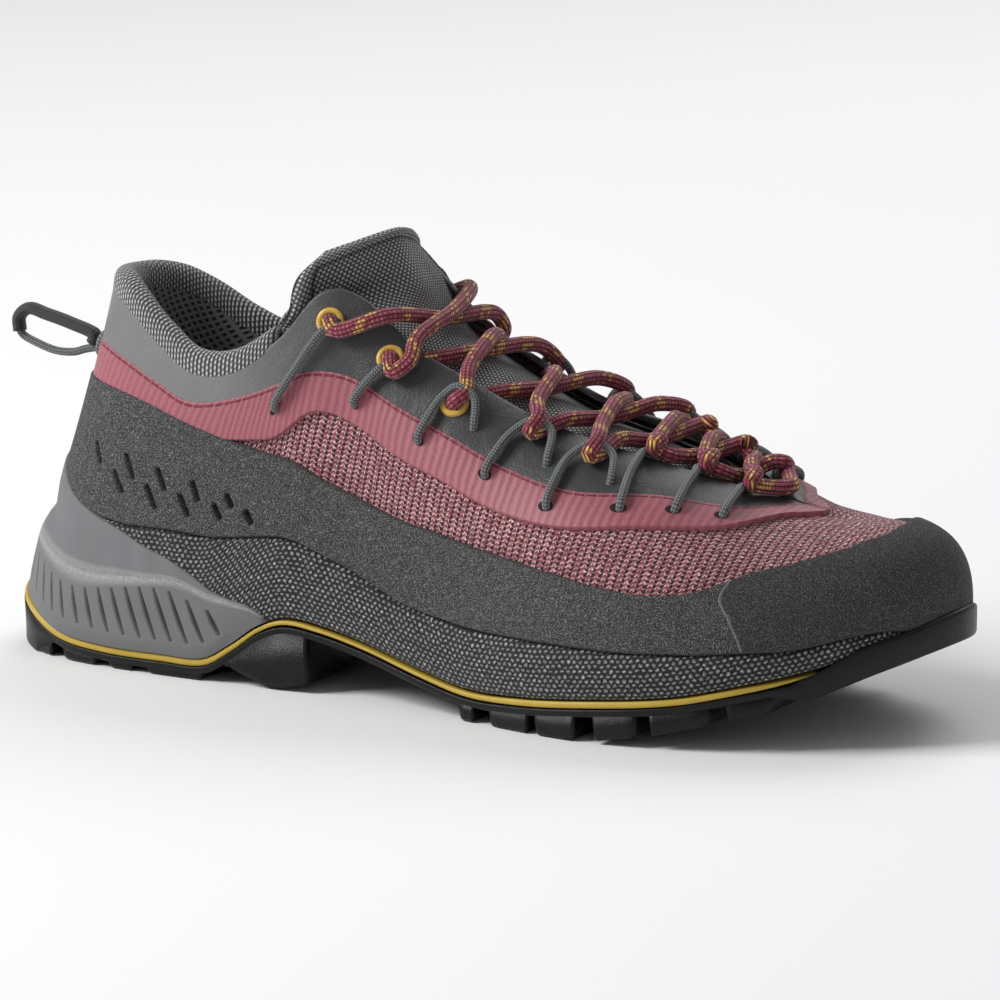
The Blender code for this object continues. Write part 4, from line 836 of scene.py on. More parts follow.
fine = np.arange(2.2, 7.0, 0.030)
coarse = np.arange(7.1, 15.6, 0.13)
side = np.concatenate([np.arange(0.1, 2.2, 0.1), fine, coarse, (15.62, 15.66, 15.72, 15.8)])
span = np.concatenate([-side[::-1], (0.0,), side])
low, high = line(span, 1), line(span, 2)
points, thread, (grid_r, grid_g, _) = patch(
    span, low, high, under=-0.9, face=1.15, rows=74, lean=leaned,
    relief=lambda r, g: -SLOT_DEPTH * slot_depth(r, g))
dress(loft("rand_skin", points, thread, cut=np.clip(slot_depth(grid_r, grid_g) * 1.6 - 0.3, 0, 1)),
      skin_look, "rand_microfibre", "rand")

close = np.array((0.0, 0.005, 0.015, 0.035, 0.07))
span = np.concatenate([TOE_SEAM + close, np.linspace(15.8, RING - 15.8, 150),
                       RING - TOE_SEAM - close[::-1]])
near = np.minimum(span, RING - span)
sink = np.clip((near - 18.6) / 1.1, 0, 1)
low = line(span, 1) * (1 - eased(sink))
high = line(span, 2)
points, thread, _ = patch(span, low, high, under=-0.9, face=1.35, roll=1.0, rows=40, lean=leaned,
                          ends=(TOE_SEAM, RING - TOE_SEAM))
seam = np.abs(np.minimum(span - TOE_SEAM, RING - TOE_SEAM - span) * PITCH - 0.45)
dress(loft("toe_cap_skin", points, thread, shade=1.0,
           seam=np.clip(1.5 - seam / 0.42, 0, 1)[:, None]), skin_look, "rand_microfibre",
      "toe_cap")

# Eyestay and collar film: one smooth grey welded film, with a painted highlight round the collar,
# that carries the eyelets and folds over the throat's edge.

# Satin film, dark at the throat and light grey round the collar as a painted highlight, with
# shallow folds
film, tree = look("welded_film", roughness=0.46)
place = add(tree, "TexCoord").outputs["Object"]
cloud = noise(tree, place, 55.0, 4.0)
grain = noise(tree, place, 1800.0, 2.0)
reach = add(tree, "SeparateXYZ", place)
# Painted highlight: the film turns light grey towards the collar
fore = soft(tree, reach.outputs[0], 0.035, 0.075)
highlight_grey = mix(tree, cloud, "#6e6e6f", "#7b7b7c")
dark = mix(tree, cloud, "#343536", "#434445")
folds = plus(tree, cloud, times(tree, grain, 0.12))
finish_look(tree, mix(tree, fore, highlight_grey, dark), folds, 1.2)

FILM_END = 16.5
span = both_ways(FILM_END, 1.3)
low = line(span, 4) - 0.03
high = np.ones_like(span)
points, thread, _ = patch(span, low, high, under=-1.2, face=0.45, roll=1.0, rows=30)
dress(loft("film", points, thread), film, "grey_film", "eyestay")

# Side band: rose film over the knit, ribbed, stitched along its upper edge in dark red.

# Dusty rose film, faintly ribbed and clouded, with a row of dark red stitches
rose, tree = look("rose_film", roughness=0.55, sheen_weight=0.1)
u, v = woven(tree)
fuzz = noise(tree, thread_place(tree), 0.16, 3.0)
grain = noise(tree, thread_place(tree), 1.6, 2.0)
slant = times(tree, v, -0.12)
bend = times(tree, fuzz, 1.2)
rib = plus(tree, plus(tree, u, slant), bend)
rib = wave(tree, rib, 2.4)
rib = soft(tree, rib, 0.05, 0.45)
ribs = mix(tree, rib, "#904955", "#a25a65")
cloudy = mix(tree, ramp(tree, grain, 0.4, 0.75, 0.0, 0.4), ribs, "#ba757f")
below = mark(tree, "below_top")
dash = wave(tree, u, 3.2)
dash = ramp(tree, dash, 0.06, 0.12)
row = calc(tree, "SUBTRACT", below, 1.25)
row = ramp(tree, calc(tree, "ABSOLUTE", row), 0.2, 0.36, 1.0, 0.0)
sewn = times(tree, dash, row)
tint = mix(tree, sewn, cloudy, "#7d1c31")
relief = plus(tree, times(tree, rib, 0.17), sewn)
finish_look(tree, tint, relief, 0.5)

BAND_FRONT = 17.7
span = both_ways(BAND_FRONT, 1.3)
near = np.abs(span)
front = np.clip((near - 15.7) / 0.9, 0, 1)
high = line(span, 4) * (1 - front) + front
low = line(span, 3) - 0.03 * np.clip((6.6 - near) / 0.8, 0, 1)
tip = np.clip((near - 16.2) / (BAND_FRONT - 16.2), 0, 1)
low = low * (1 - tip ** 2.2) + tip ** 2.2
high = np.maximum(high, low + 0.004)
points, thread, (_, _, inset) = patch(span, low, high, under=-0.9, face=0.62, roll=0.5, rows=26)
columns = inset.shape[1]
# Distance below the upper edge, for the stitches; far off on the lower half
below_top = np.where(np.arange(columns) >= columns // 2, inset, 9.0)
dress(loft("band", points, thread, below_top=below_top), rose, "rose_film", "side_band")

# Heel cup: moulded mid-grey foam round the heel, with a slotted bulge above the sole, a
# rough ledge over it and a thin upper edge against the rand.

# Mid-grey matt foam, rough and pale on the ledge, with painted shade darkening the slots
foam, tree = look("moulded_foam", roughness=0.7)
place = add(tree, "TexCoord").outputs["Object"]
cloud = noise(tree, place, 70.0, 4.0)
grain = noise(tree, place, 1500.0, 3.0)
rough_mark = mark(tree, "rough")
# Painted shade: the carved slots are coloured darker
cut_mark = mark(tree, "cut")
tint = mix(tree, cloud, "#68696a", "#77787a")
tint = mix(tree, times(tree, rough_mark, grain), tint, "#b4b5b5")
tint = mix(tree, cut_mark, tint, "#2f3030")
relief = times(tree, grain, ramp(tree, rough_mark, 0.0, 1.0, 0.25, 1.0))
finish_look(tree, tint, relief, 0.4)

# Lower and upper line of the ledge in girth shares, and how far the bulge stands out
LEDGE_LOW = ((0.0, 0.165), (2.0, 0.165), (3.46, 0.168), (4.08, 0.193), (5.0, 0.235), (5.6, 0.230),
             (6.2, 0.160), (CUP_END, 0.01))
LEDGE_HIGH = ((0.0, 0.205), (2.07, 0.210), (3.59, 0.234), (4.65, 0.265), (5.46, 0.270),
              (6.2, 0.190), (CUP_END, 0.015))
BULGE = ((0.0, 1.5), (1.0, 1.5), (2.0, 1.9), (3.0, 2.3), (4.0, 2.2), (5.0, 1.9), (6.0, 1.5),
         (CUP_END, 0.6))
# Outline of the cup behind the heel: share of the girth, out from the last
HEEL_OUT = ((0.0, 0.5), (0.02, 0.7), (0.068, 1.4), (0.13, 2.0), (0.19, 2.3), (0.235, 1.6),
            (0.275, 0.5), (0.32, 0.9), (0.362, 1.4), (0.46, 1.7))
SLOT_FOOT = 0.055             # girth share where the bulge's slots start
CUP_SLOTS = (0.55, 1.1, 1.6, 2.05, 2.45, 2.8, 3.13, 3.47, 3.78, 4.08, 4.36, 4.64, 4.91, 5.19, 5.48,
             5.79, 6.12)
span = both_ways(CUP_END, 0.34, roll=0.6)
near = np.abs(span)
share = np.linspace(0, 1, 100)
top_g = smooth(CUP_TOP, near)
grid_g = top_g[:, None] * share[None, :]
grid_r = np.repeat(span[:, None], len(share), axis=1)
low_g, high_g = smooth(LEDGE_LOW, near)[:, None], smooth(LEDGE_HIGH, near)[:, None]
bulge = smooth(BULGE, near)[:, None]
swell = np.clip(grid_g / 0.05, 0, 1)
swell = 0.45 + 0.55 * np.sin(swell * math.pi / 2)
ledge = np.clip((grid_g - low_g) / np.maximum(0.7 * (high_g - low_g), 0.004), 0, 1)
ledge = eased(ledge)
fade = np.clip((grid_g - high_g) / np.maximum(top_g[:, None] - high_g, 0.01), 0, 1)
upper_part = bulge * 0.42 * (1 - fade) + 0.35 * fade
out = 0.9 + bulge * swell * (1 - ledge) + upper_part * ledge
wrap_out = puffed(grid_r, np.minimum(grid_g, line(grid_r, 1)))
out = np.maximum(out, 1.1 + wrap_out * np.clip((near[:, None] - 3.6) / 1.2, 0, 1))
behind = eased(np.clip((3.4 - near) / 2.0, 0, 1))[:, None]
out = out * (1 - behind) + smooth(HEEL_OUT, grid_g) * behind
cut = np.zeros_like(out)
for r0 in CUP_SLOTS:
    g1 = smooth(LEDGE_LOW, r0) - 0.012
    lean = 0.26 * (g1 - SLOT_FOOT) / 0.12
    along_slot, apart = from_stroke(
        (np.abs(grid_r) - (r0 - lean / 2)) * PITCH, (grid_g - g1) * girth(grid_r),
        lean * PITCH, (SLOT_FOOT - g1) * float(girth(r0)))
    width = 0.02 + 0.20 * np.sin(math.pi * np.clip(along_slot, 0.05, 0.95))
    cut = np.maximum(cut, np.clip((width + 0.30 - apart) / 0.40, 0, 1))
out = out - 0.85 * cut * np.clip(out / 1.2, 0.2, 1)
CUP_UNDER = -0.9
out = CUP_UNDER + (out - CUP_UNDER) * rounded((top_g[:, None] - grid_g) * girth(grid_r) / 0.8)
out = CUP_UNDER + (out - CUP_UNDER) * rounded((CUP_END - near) * PITCH / 1.2)[:, None]
rough = np.where(ledge < 0.999, np.clip(ledge * 1.2, 0, 1), np.clip(0.6 - fade * 7, 0, 1))
dress(loft("foam_cup", skin(grid_r, grid_g, out),
           np.stack([grid_r * PITCH, grid_g * girth(grid_r)], axis=2),
           cut=np.clip(cut * 1.3, 0, 1), rough=rough), foam, "cup_foam", "heel_cup")

# Midsole and insole: foam under the foot, and a plain fabric footbed seen from above.

# Dark grey foam with a fine grain, and a dark plain-woven fabric
sole_foam, tree = look("sole_foam", roughness=0.75)
grain = noise(tree, add(tree, "TexCoord").outputs["Object"], 900.0, 3.0)
finish_look(tree, mix(tree, grain, "#3e3f40", "#505152"), grain, 0.2)
bed_fabric, tree = look("bed_fabric", roughness=0.95, sheen_weight=0.2)
place = add(tree, "TexCoord").outputs["Object"]
weft = add(tree, "TexWave", place, 900.0, 1.0, wave_type="BANDS", bands_direction="X")
warp = add(tree, "TexWave", place, 900.0, 1.0, wave_type="BANDS", bands_direction="Y")
cloth = times(tree, weft, warp)
finish_look(tree, mix(tree, cloth, "#2e2e2f", "#4a4a4b"), cloth, 0.2)
for name, finish in (("midsole", sole_foam), ("insole", bed_fabric)):
    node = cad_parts[name]
    node.data.materials.clear()
    node.data.materials.append(finish)

# Collar: a padded tube of lighter ribbed mesh over the collar's edge, with the dark
# checked lining going down inside. Both are soft.

# Pale grey knobs in leaning rows over near black
ribbed, tree = look("ribbed_binding", roughness=0.85, sheen_weight=0.25)
u, v = woven(tree)
a = wave(tree, u, 1.3)
half_step = times(tree, calc(tree, "FLOOR", calc(tree, "DIVIDE", u, 1.3)), 0.5)
row = plus(tree, calc(tree, "DIVIDE", v, 1.5), half_step)
b = wave(tree, row)
knot = times(tree, soft(tree, a, 0.06, 0.4), soft(tree, b, 0.02, 0.35, 0.25, 1.0))
finish_look(tree, mix(tree, knot, "#242526", "#c6c7c9"), knot, 0.6)

COLLAR_END = 6.9
# The roll's section: out from the last, up from the collar's edge
ROLL = ((0.5, -1.5), (0.7, 0.6), (0.7, 2.2), (0.0, 4.0), (-2.4, 5.2), (-4.8, 4.5), (-6.3, 2.2),
        (-6.6, -1.0))
span = both_ways(COLLAR_END, 1.2, roll=2.0)
path = np.array(ROLL)
fine_path = []
for k in range(len(path) - 1):
    a, b, c, d = (path[min(max(k + j, 0), len(path) - 1)] for j in (-1, 0, 1, 2))
    for f in np.linspace(0, 1, 5)[:-1]:
        fine_path.append(through(a, b, c, d, f))
fine_path = np.array(fine_path + [path[-1]])
shut = rounded((COLLAR_END - np.abs(span)) * PITCH / 3.0)[:, None]
heart = np.array((-2.9, 1.8))
outs, ups = (heart[k] + (fine_path[None, :, k] - heart[k]) * shut for k in (0, 1))
grid_r = np.repeat(span[:, None], len(fine_path), axis=1)
grid_g = 1 + ups / girth(grid_r)
thread = np.stack([sample(STRIDE, grid_r, np.ones_like(grid_g)),
                   np.broadcast_to(run_along(fine_path), grid_g.shape)], axis=2)
roll = dress(loft("collar_roll", skin(grid_r, grid_g, outs), thread), ribbed, "lining_mesh",
             "collar_lining")
down = np.linspace(1.0 + 1.0 / 80, 0.42, 30)
grid_r, grid_g = np.meshgrid(span, down, indexing="ij")
points = skin(grid_r, grid_g, -6.4 + 1.2 * np.clip((grid_g - 0.5) * -4, 0, 1))
pad = dress(loft("collar_pad", points, weave_map(grid_r, grid_g)), lining, "lining_mesh")

# Tongue: padded grey mesh under the lacing, standing free above it, with a bound edge.

# Grey mesh of staggered knobs, paler on the bound edge, with painted shade in the crease beside it
mesh_cloth, tree = look("tongue_mesh", roughness=0.85, sheen_weight=0.15)
u, v = woven(tree)
row = calc(tree, "DIVIDE", v, 0.85)
half_step = times(tree, calc(tree, "FLOOR", row), 0.5)
column = plus(tree, calc(tree, "DIVIDE", u, 1.5), half_step)
a = wave(tree, column)
b = wave(tree, row)
knot = times(tree, soft(tree, a, 0.08, 0.4), soft(tree, b, 0.02, 0.4, 0.2, 1.0))
bound = mark(tree, "bound")
face_tint = mix(tree, knot, "#343535", "#c6c8c8")
bound_tint = mix(tree, knot, "#46474a", "#d2d3d5")
edge_tint = mix(tree, ramp(tree, bound, 0.0, 1.0), face_tint, bound_tint)
# Painted shade: the crease beside the bound edge is coloured near black
crease_shade = ramp(tree, bound, -0.6, -0.05, 0.9, 0.0)
finish_look(tree, mix(tree, crease_shade, edge_tint, "#0d0d0d"), knot, 0.5)

# Sections under the lacing that carry it, and the free end's rows: the middle's place
# along and up, then place, half width and height of the lateral and of the medial edge
TONGUE_RIBS = (15.2, 14.4, 13.6, 12.8, 12.0, 11.2, 10.5, 9.9)
TONGUE_TOP = ((0.427, 1.055, 0.322, 0.435, 0.915, 0.416, 0.470, 1.030),
              (0.413, 1.120, 0.330, 0.455, 1.000, 0.405, 0.440, 1.074),
              (0.404, 1.178, 0.339, 0.450, 1.088, 0.396, 0.380, 1.118),
              (0.401, 1.205, 0.360, 0.345, 1.158, 0.386, 0.300, 1.163))
# Its thickness, the columns that a rounded edge takes, and the row where it comes free
TONGUE_THICK, EDGE_COLUMNS, FREE_ROW = 4.5, 13.0, 48
rows = []
for rib in TONGUE_RIBS:
    left = skin(np.full(3, rib), np.array((0.86, 0.93, 0.99)), -4.0)
    right = skin(np.full(3, RING - rib), np.array((0.99, 0.93, 0.86)), -4.0)
    centre = (left[2] + right[0]) / 2
    width = np.linalg.norm(left[2] - right[0]) / HALF_BALL
    centre[2] += 0.075 * HALF_BALL * min(1.0, width / 0.6)
    rows.append(np.concatenate([left, centre[None], right]))
w = np.array((-1.0, -0.8, -0.5, 0.0, 0.5, 0.8, 1.0))
bend = np.abs(w) ** 1.8
for x0, z0, *edge_row in TONGUE_TOP:
    x1, half_width, z1 = (np.where(w < 0, edge_row[k], edge_row[k + 3]) for k in range(3))
    rows.append(np.stack([(x0 + (x1 - x0) * bend) * LENGTH, w * half_width * HALF_BALL,
                          (z0 + (z1 - z0) * bend) * COLLAR_HEIGHT], axis=1))
coarse_net = np.array(rows)


def refine(net, splits):
    """The net on smooth curves through its rows, each step split in so many."""
    padded_net = np.concatenate([2 * net[:1] - net[1:2], net, 2 * net[-1:] - net[-2:-1]])
    out = []
    for k in range(1, len(padded_net) - 2):
        a, b, c, d = padded_net[k - 1:k + 3]
        for f in np.arange(splits) / splits:
            out.append(through(a, b, c, d, f))
    return np.array(out + [net[-1]])


face = refine(refine(coarse_net, 8).transpose(1, 0, 2), 10).transpose(1, 0, 2)
out_way = np.cross(np.gradient(face, axis=1), np.gradient(face, axis=0))
out_way /= np.linalg.norm(out_way, axis=2)[:, :, None]
rows_n, cols_n = face.shape[:2]
from_end = (rows_n - 1 - np.arange(rows_n))[:, None]
edge = np.minimum(np.arange(cols_n), cols_n - 1 - np.arange(cols_n))[None, :]
thick = TONGUE_THICK * rounded(np.minimum(edge, from_end) / EDGE_COLUMNS)
free = np.clip((np.arange(rows_n) - FREE_ROW) / 8, 0, 1)[:, None]
hem = np.minimum(np.arange(cols_n)[None, :], from_end) / EDGE_COLUMNS
stop = np.sqrt(np.clip((cols_n - 1 - np.arange(cols_n)) / 5.0, 0, 1))[None, :]
binding = 1.7 * np.sqrt(np.clip(1 - ((hem - 0.25) / 0.25) ** 2, 0, 1)) * free * stop
front = face + out_way * (binding - 0.4 * free)[:, :, None]
under = face - out_way * thick[:, :, None]
u, v = run_along(face, 1), run_along(face)
u = u - u[:, cols_n // 2 + 1, None]
v = np.broadcast_to(v.mean(axis=1, keepdims=True), v.shape)
both = np.concatenate([front, under[:, ::-1], front[:, :1]], axis=1)
thread = np.stack([np.concatenate([way, way[:, ::-1], way[:, :1]], axis=1) for way in (u, v)],
                  axis=2)
bound = (np.clip((0.50 - hem) / 0.04, 0, 1) - np.clip(1 - np.abs(hem - 0.56) / 0.07, 0, 1)) * free
bound = np.concatenate([bound, np.broadcast_to(free, bound.shape), bound[:, :1]], axis=1)
tongue = dress(loft("tongue_pad", both.transpose(1, 0, 2)[::-1], thread.transpose(1, 0, 2)[::-1],
                    bound=bound.T[::-1]), mesh_cloth, "tongue_mesh", "tongue")

# Eyelets: six mustard enamelled rings pressed into the film, three a side, each hole closed by
# a disc painted near black as its shade.

# Glossy mustard enamel with a faint mottle; painted shade makes the hole near black
enamel, tree = look("mustard_enamel", roughness=0.34, coat_weight=0.35, coat_roughness=0.25)
place = add(tree, "TexCoord").outputs["Object"]
cloud = noise(tree, place, 500.0, 3.0)
# Painted shade: the hole's inner wall and the disc closing it go near black
eyelet_hole_shade = mark(tree, "cut")
tint = mix(tree, cloud, "#c99a35", "#e3bf5e")
finish_look(tree, mix(tree, eyelet_hole_shade, tint, "#120c0c"), cloud, 0.06)

# Section and girth share of each eyelet's middle
EYELET_PLACES = ((8.35, 0.900), (9.71, 0.905), (10.90, 0.882))
# Half of the ring's section: radius, height; the rows inside HOLE_RADIUS are its hole
HOLE_RADIUS = 2.02
RING_PROFILE = ((3.75, -0.5), (3.75, 0.30), (3.60, 0.68), (3.20, 0.95), (2.70, 0.95), (2.30, 0.78),
                (2.05, 0.40), (2.00, -0.05), (1.95, -0.30), (0.0, -0.30))


def at(number, g, side, out):
    """Place at a section of the lateral (-1) or the medial side (1)."""
    return skin(number if side < 0 else RING - number, g, out)


for side, label in ((-1, "lateral"), (1, "medial")):
    for k, (number, g) in enumerate(EYELET_PLACES):
        middle = at(number, g, side, 0.45)
        normal = at(number, g, side, 1.45) - middle
        across = np.cross(normal, (0.0, 0.0, 1.0))
        across /= np.linalg.norm(across)
        other = np.cross(normal, across)
        turns = np.linspace(0, 2 * math.pi, 49)[:, None]
        circle = (across * np.cos(turns) + other * np.sin(turns))[:, None, :]
        profile = np.array(RING_PROFILE)[None, :, :, None]
        points = middle + circle * profile[:, :, 0] + normal * profile[:, :, 1]
        ring_piece = loft(f"eyelet_{label}_{k + 1}_ring", points, closed=True,
                          cut=np.array([radius < HOLE_RADIUS for radius, _ in RING_PROFILE],
                                       float)[None, :])
        dress(ring_piece, enamel, "eyelet_enamel", f"eyelet_{label}_{k + 1}")

# Lace: round maroon braid with mustard flecks. It comes out of the top eyelets, crosses
# over the tongue, turns through each cord loop and runs across at the front.

# Maroon braid of short slanting stitches, with groups of mustard flecks
braid, tree = look("maroon_braid", roughness=0.75, sheen_weight=0.3, sheen_roughness=0.4)
u, v = woven(tree)
column = calc(tree, "DIVIDE", u, 1.15)
across = wave(tree, column)
course = plus(tree, calc(tree, "DIVIDE", v, 1.05), times(tree, across, 0.9))
stitch = wave(tree, course)
loop = times(tree, soft(tree, across, 0.03, 0.32), soft(tree, stitch, 0.06, 0.34, 0.3, 1.0))
cell = add(tree, "CombineXYZ", calc(tree, "FLOOR", column), calc(tree, "FLOOR", course))
chance = add(tree, "TexWhiteNoise", cell)
twist = plus(tree, v, times(tree, u, 0.7))
group = wave(tree, twist, 11.0)
fleck = times(tree, calc(tree, "GREATER_THAN", group, 0.3),
              calc(tree, "GREATER_THAN", chance, 0.44))
yarn = mix(tree, loop, "#42081a", mix(tree, chance, "#ad2b48", "#da667d"))
flecked = mix(tree, times(tree, fleck, loop), yarn, "#f3c553")
finish_look(tree, flecked, loop, 0.45)

LACE_DIAMETER = 4.1
# Where the lace turns, top to front: section and girth share
TURNS = ((8.56, 0.874), (9.84, 0.872), (10.95, 0.886), (12.08, 0.885), (12.95, 0.850),
         (13.48, 0.985), (14.20, 0.985), (14.99, 0.925))
EYELETS = len(EYELET_PLACES)
tongue_line = coarse_net[:, 3]
# Sections along the throat's edge, for the nearest place on it
edge_numbers = np.linspace(7.6, 15.9, 167)


def over_tongue(point, distance):
    """Point at a distance above the middle of the tongue, nearest to a given point."""
    best = None
    for a, b in zip(tongue_line, tongue_line[1:]):
        run = (b - a)[[0, 2]]
        share = np.clip((point - a)[[0, 2]].dot(run) / run.dot(run), 0, 1)
        near = a + (b - a) * share
        apart = np.linalg.norm((point - near)[[0, 2]])
        if best is None or apart < best[0]:
            up = np.array([run[1], 0.0, -run[0]]) / np.linalg.norm(run)
            best = (apart, near, up if up[2] > 0 else -up)
    return best[1] + best[2] * distance


def over_edge(point, side, out):
    """Point beside the eyestay's edge, nearest to a given point."""
    places = [at(number, 1.0, side, 0.0) for number in edge_numbers]
    nearest = int(np.argmin([np.linalg.norm(place - point) for place in places]))
    return at(edge_numbers[nearest], 1.0, side, out)


def up_from(place, side, distance, out, shift=0.0):
    """Point at a distance in mm up from a place (section, share)."""
    number, g = place
    return at(number + shift, g + distance / float(girth(number)), side, out)


def strand(upper, side, lower):
    """Points of one crossing, from its upper turn on one side to its lower one."""
    start, end = at(*TURNS[upper], side, 2.0), at(*TURNS[lower], -side, 2.0)
    middle = over_tongue((start + end) / 2, 2.3 if side < 0 else 6.1)
    middle[1] = (start[1] + end[1]) / 2
    if upper == 0:
        points = [at(*EYELET_PLACES[0], side, -1.6), at(*EYELET_PLACES[0], side, 1.4),
                  at(*TURNS[0], side, 3.0)]
        points.append(over_edge(start + (middle - start) * 0.45, side, 3.0))
    elif upper < EYELETS:
        points = [at(*EYELET_PLACES[upper], side, -1.7),
                  over_edge(start + (middle - start) * 0.35, side, -1.5)]
    else:
        points = [up_from(TURNS[upper], side, -0.9, 3.9),
                  up_from(TURNS[upper], side, 1.8, 2.4, 0.06)]
        points.append(over_edge(start + (middle - start) * 0.4, side, 2.4))
    points.append(middle)
    reach = 0.42 if lower < EYELETS else 0.5
    points.append(over_edge(end + (middle - end) * reach, -side, 3.2 if lower < EYELETS else 4.4))
    if lower < EYELETS:
        shift = (0.0, 0.34, 0.12)[lower]
        points += [up_from(EYELET_PLACES[lower], -side, 2.5, 3.4, shift),
                   at(*TURNS[lower], -side, 3.0), at(*EYELET_PLACES[lower], -side, 1.4),
                   at(*EYELET_PLACES[lower], -side, -1.7)]
    else:
        points += [up_from(TURNS[lower], -side, 3.0, 5.3), up_from(TURNS[lower], -side, -0.9, 3.9)]
    return points


SPLITS = 14                   # steps between two points of a path, before it is evened


def even_path(points, step):
    """Places a step apart on a smooth path through the points (a centripetal spline)."""
    steps = [1.0] + [np.linalg.norm(b - a) for a, b in zip(points, points[1:])]
    points = [np.asarray(point, float) for point, far in zip(points, steps) if far > 0.05]
    rows = np.array([points[0] * 2 - points[1]] + points + [points[-1] * 2 - points[-2]])
    fine = []
    for k in range(1, len(rows) - 2):
        a, b, c, d = rows[k - 1:k + 3]
        ta = np.linalg.norm(b - a) ** 0.5
        tb = ta + np.linalg.norm(c - b) ** 0.5
        tc = tb + np.linalg.norm(d - c) ** 0.5
        for t in ta + (tb - ta) * (np.arange(SPLITS) / SPLITS):
            ab, bc = a + (b - a) * t / ta, b + (c - b) * (t - ta) / (tb - ta)
            cd = c + (d - c) * (t - tb) / (tc - tb)
            ac, bd = ab + (bc - ab) * t / tb, bc + (cd - bc) * (t - ta) / (tc - ta)
            fine.append(ac + (bd - ac) * (t - ta) / (tb - ta))
    fine = np.array(fine + [rows[-2]])
    walk = run_along(fine)
    marks = np.linspace(0, walk[-1], max(int(walk[-1] / step), 4))
    return np.stack([np.interp(marks, walk, fine[:, k]) for k in range(3)], axis=1)


def tube(name, path, radius, corners=16, flat=1.0):
    """Round cord along a path, its ends closed; its weave map runs round and along it."""
    tangents = np.gradient(path, axis=0)
    tangents /= np.linalg.norm(tangents, axis=1)[:, None]
    side = np.cross(tangents[0], (0.0, 1.0, 0.0) if abs(tangents[0][1]) < 0.8 else (1.0, 0.0, 0.0))
    sides = []
    for tangent in tangents:
        side = side - tangent * side.dot(tangent)
        side /= np.linalg.norm(side)
        sides.append(side)
    sides = np.array(sides)
    others = np.cross(tangents, sides)
    angles = np.linspace(0, 2 * math.pi, corners + 1)
    cos, sin = np.cos(angles)[None, :, None], np.sin(angles)[None, :, None]
    around = sides[:, None] * cos + others[:, None] * sin * flat
    caps = [np.broadcast_to(end, around[:1].shape) for end in (path[0], path[-1])]
    points = np.concatenate([caps[0], path[:, None] + around * radius, caps[1]])
    walk = np.pad(run_along(path), 1, mode="edge")
    thread = np.stack(np.broadcast_arrays(angles[None, :] * radius, walk[:, None]), axis=2)
    return loft(name, points, thread, closed=True)


# The run goes down from the lateral top eyelet, changing sides, and comes up the other way
stops = [(k, -1 if k % 2 == 0 else 1) for k in range(len(TURNS))]
stops += [(k, -side) for k, side in reversed(stops)]
path = []
for (k, side), (next_k, next_side) in zip(stops, stops[1:]):
    if k < next_k:
        path += strand(k, side, next_k)
    elif k > next_k:
        path += strand(next_k, next_side, k)[::-1]
    else:
        crown = (at(15.75, 1.0, side, 3.4) + at(15.75, 1.0, -side, 3.4)) / 2
        path += [up_from(TURNS[k], side, -0.9, 3.6), at(15.42, 0.965, side, 2.9), crown,
                 at(15.42, 0.965, -side, 2.9), up_from(TURNS[k], -side, -0.9, 3.6)]
dress(tube("lace_run", even_path(path, 0.8), LACE_DIAMETER / 2), braid, "lace_braid", "lace")

# Lace cords: thin grey braided loops that come out of small holes in the band and hold
# the lace at each turn.

# Mid-grey braid of fine slanting stitches; near-black maroon discs of painted shade for the
# punched holes
grey_braid, tree = look("grey_braid", roughness=0.7, sheen_weight=0.2)
u, v = woven(tree)
one = wave(tree, u, 0.86)
two = wave(tree, plus(tree, calc(tree, "DIVIDE", v, 0.75), times(tree, one, 1.1)))
loop = times(tree, ramp(tree, one, 0.02, 0.3, 0.2, 1.0), ramp(tree, two, 0.04, 0.34))
finish_look(tree, mix(tree, loop, "#2b2e2e", "#8f9595"), loop, 0.25)
hole_disc_shade, tree = look("punched_edge", roughness=0.9)
grain = noise(tree, add(tree, "TexCoord").outputs["Object"], 1500.0, 2.0)
finish_look(tree, mix(tree, grain, "#1a0c10", "#2c141a"), grain, 0.1)

CORD_DIAMETER = 2.2
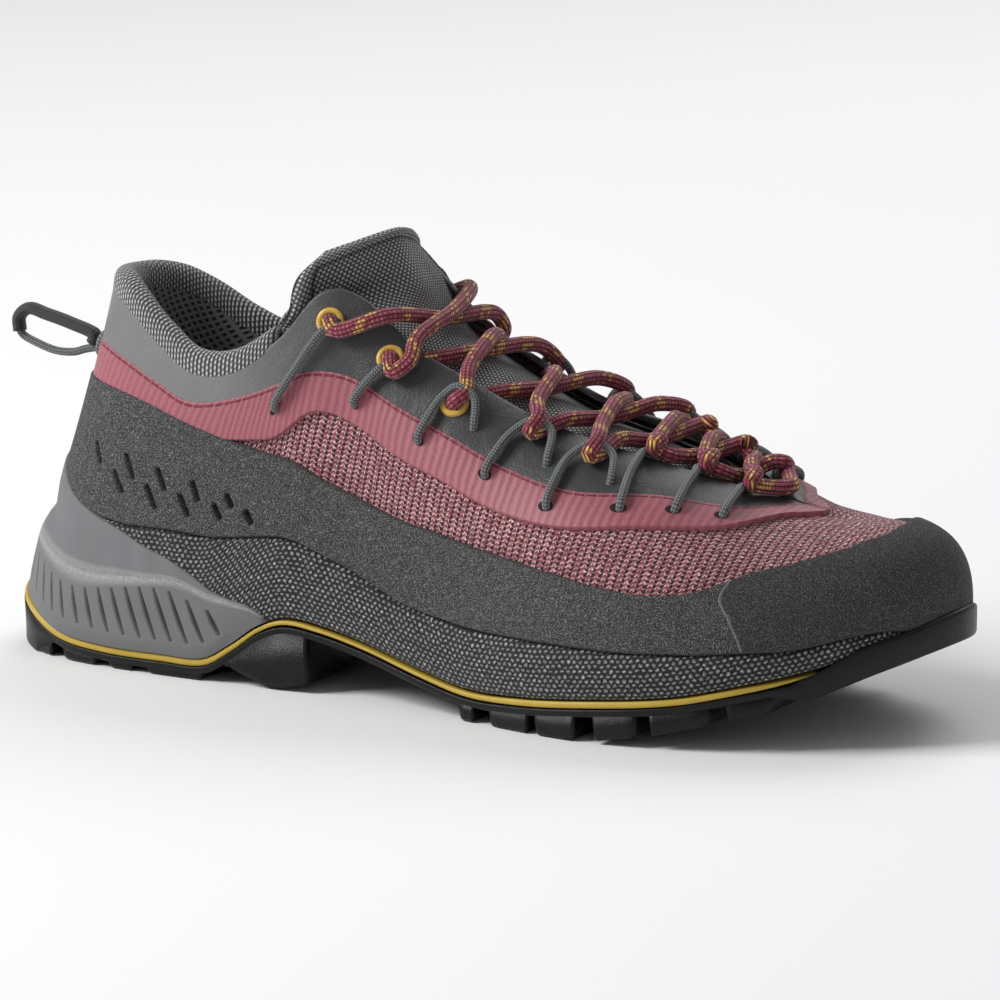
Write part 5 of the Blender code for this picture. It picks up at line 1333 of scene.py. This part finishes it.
# Lower end, hook beside the lace, and end of the second leg: section and girth share
CORDS = (((7.05, 0.745), (8.20, 0.872), None), ((9.06, 0.690), (9.66, 0.872), None),
         ((10.42, 0.721), (10.72, 0.880), (11.29, 0.851)),
         ((11.66, 0.705), (11.84, 0.865), (12.45, 0.815)),
         ((12.69, 0.644), (12.72, 0.835), (13.32, 0.795)), ((13.61, 0.677), (13.42, 0.930), None),
         ((14.26, 0.712), (14.15, 0.930), None), ((14.90, 0.731), (14.88, 0.880), None))
for side, label in ((-1, "lateral"), (1, "medial")):
    for k, (low_end, hook, leg) in enumerate(CORDS):
        half_way = ((low_end[0] + hook[0]) / 2, (low_end[1] + hook[1]) / 2)
        points = [up_from(low_end, side, -0.8, -0.6), up_from(low_end, side, 0.6, 1.7),
                  at(*half_way, side, 2.4), at(*hook, side, 2.4)]
        if leg is None:
            points += [up_from(TURNS[k], side, 1.2, 1.4, -0.12), up_from(TURNS[k], side, 3.2, 0.9)]
        else:
            points += [up_from(TURNS[k], side, 2.6, 4.4, -0.05),
                       up_from(TURNS[k], side, 2.0, 3.6, 0.22), at(*leg, side, 1.5),
                       up_from(leg, side, -2.0, -0.9)]
        dress(tube(f"cord_{label}_{k + 1}_braid", even_path(points, 0.5), CORD_DIAMETER / 2, 12),
              grey_braid, "grey_cord", f"cord_{label}_{k + 1}")
        turns = np.linspace(0, 2 * math.pi, 25)[:, None]
        spread = np.array((0.0, 0.6, 1.0))[None, :]
        number = low_end[0] + (0.10 * np.cos(turns) * spread - 0.02) * 1.05
        share = low_end[1] + 1.5 * np.sin(turns) * spread / float(girth(low_end[0]))
        # Painted shade: a flat near-black maroon disc stands for the dark inside of each punched
        # hole
        hole = loft(f"hole_{label}_{k + 1}", at(number, share, side, 0.74), closed=True)
        dress(hole, hole_disc_shade, "grey_cord")

# Heel pull loop: a grey cord with a dark flat sleeve on its upper run, tacked down to the
# heel with a knot below.

# Dark tight webbing
sleeve_cloth, tree = look("sleeve_webbing", roughness=0.7, sheen_weight=0.15)
u, v = woven(tree)
one = wave(tree, u, 1.0)
two = wave(tree, v, 0.7)
rib = plus(tree, one, two)
finish_look(tree, mix(tree, rib, "#1f2021", "#3c3d3e"), rib, 0.2)
# Places in mm along the shoe and up, in its middle plane
SLEEVE_PATH = ((14.0, 79.6), (15.0, 81.4), (7.1, 84.2), (-0.5, 86.0), (-6.2, 87.1), (-9.3, 84.6),
               (-9.2, 80.8))
CORD_PATH = ((-8.9, 83.6), (-9.0, 80.8), (-8.0, 79.6), (-3.5, 77.8), (2.2, 76.3), (8.0, 76.4),
             (12.0, 77.6), (16.0, 78.4))


def upright(places):
    return [np.array((x, 0.0, z)) for x, z in places]


sleeve = tube("pull_sleeve", even_path(upright(SLEEVE_PATH), 0.7), 1.7, 20, flat=1.35)
dress(sleeve, sleeve_cloth, "grey_cord", "heel_pull_loop")
under_cord = tube("pull_cord", even_path(upright(CORD_PATH), 0.5), CORD_DIAMETER / 2, 12)
dress(under_cord, grey_braid, "grey_cord")
# Girth share at the heel, out from the last, and aside
KNOT_PATH = ((0.80, 1.2, 0.0), (0.795, 2.0, -2.6), (0.755, 2.2, -3.2), (0.735, 2.2, 0.0),
             (0.755, 2.2, 3.0), (0.79, 2.4, 2.2), (0.80, 2.9, -0.6), (0.77, 3.2, -1.8),
             (0.75, 2.8, 0.6))
knot_path = [at(0.0, g, -1, out) + np.array((0.0, y, 0.0)) for g, out, y in KNOT_PATH]
dress(tube("pull_knot", even_path(knot_path, 0.5), 1.2, 12), grey_braid, "grey_cord")
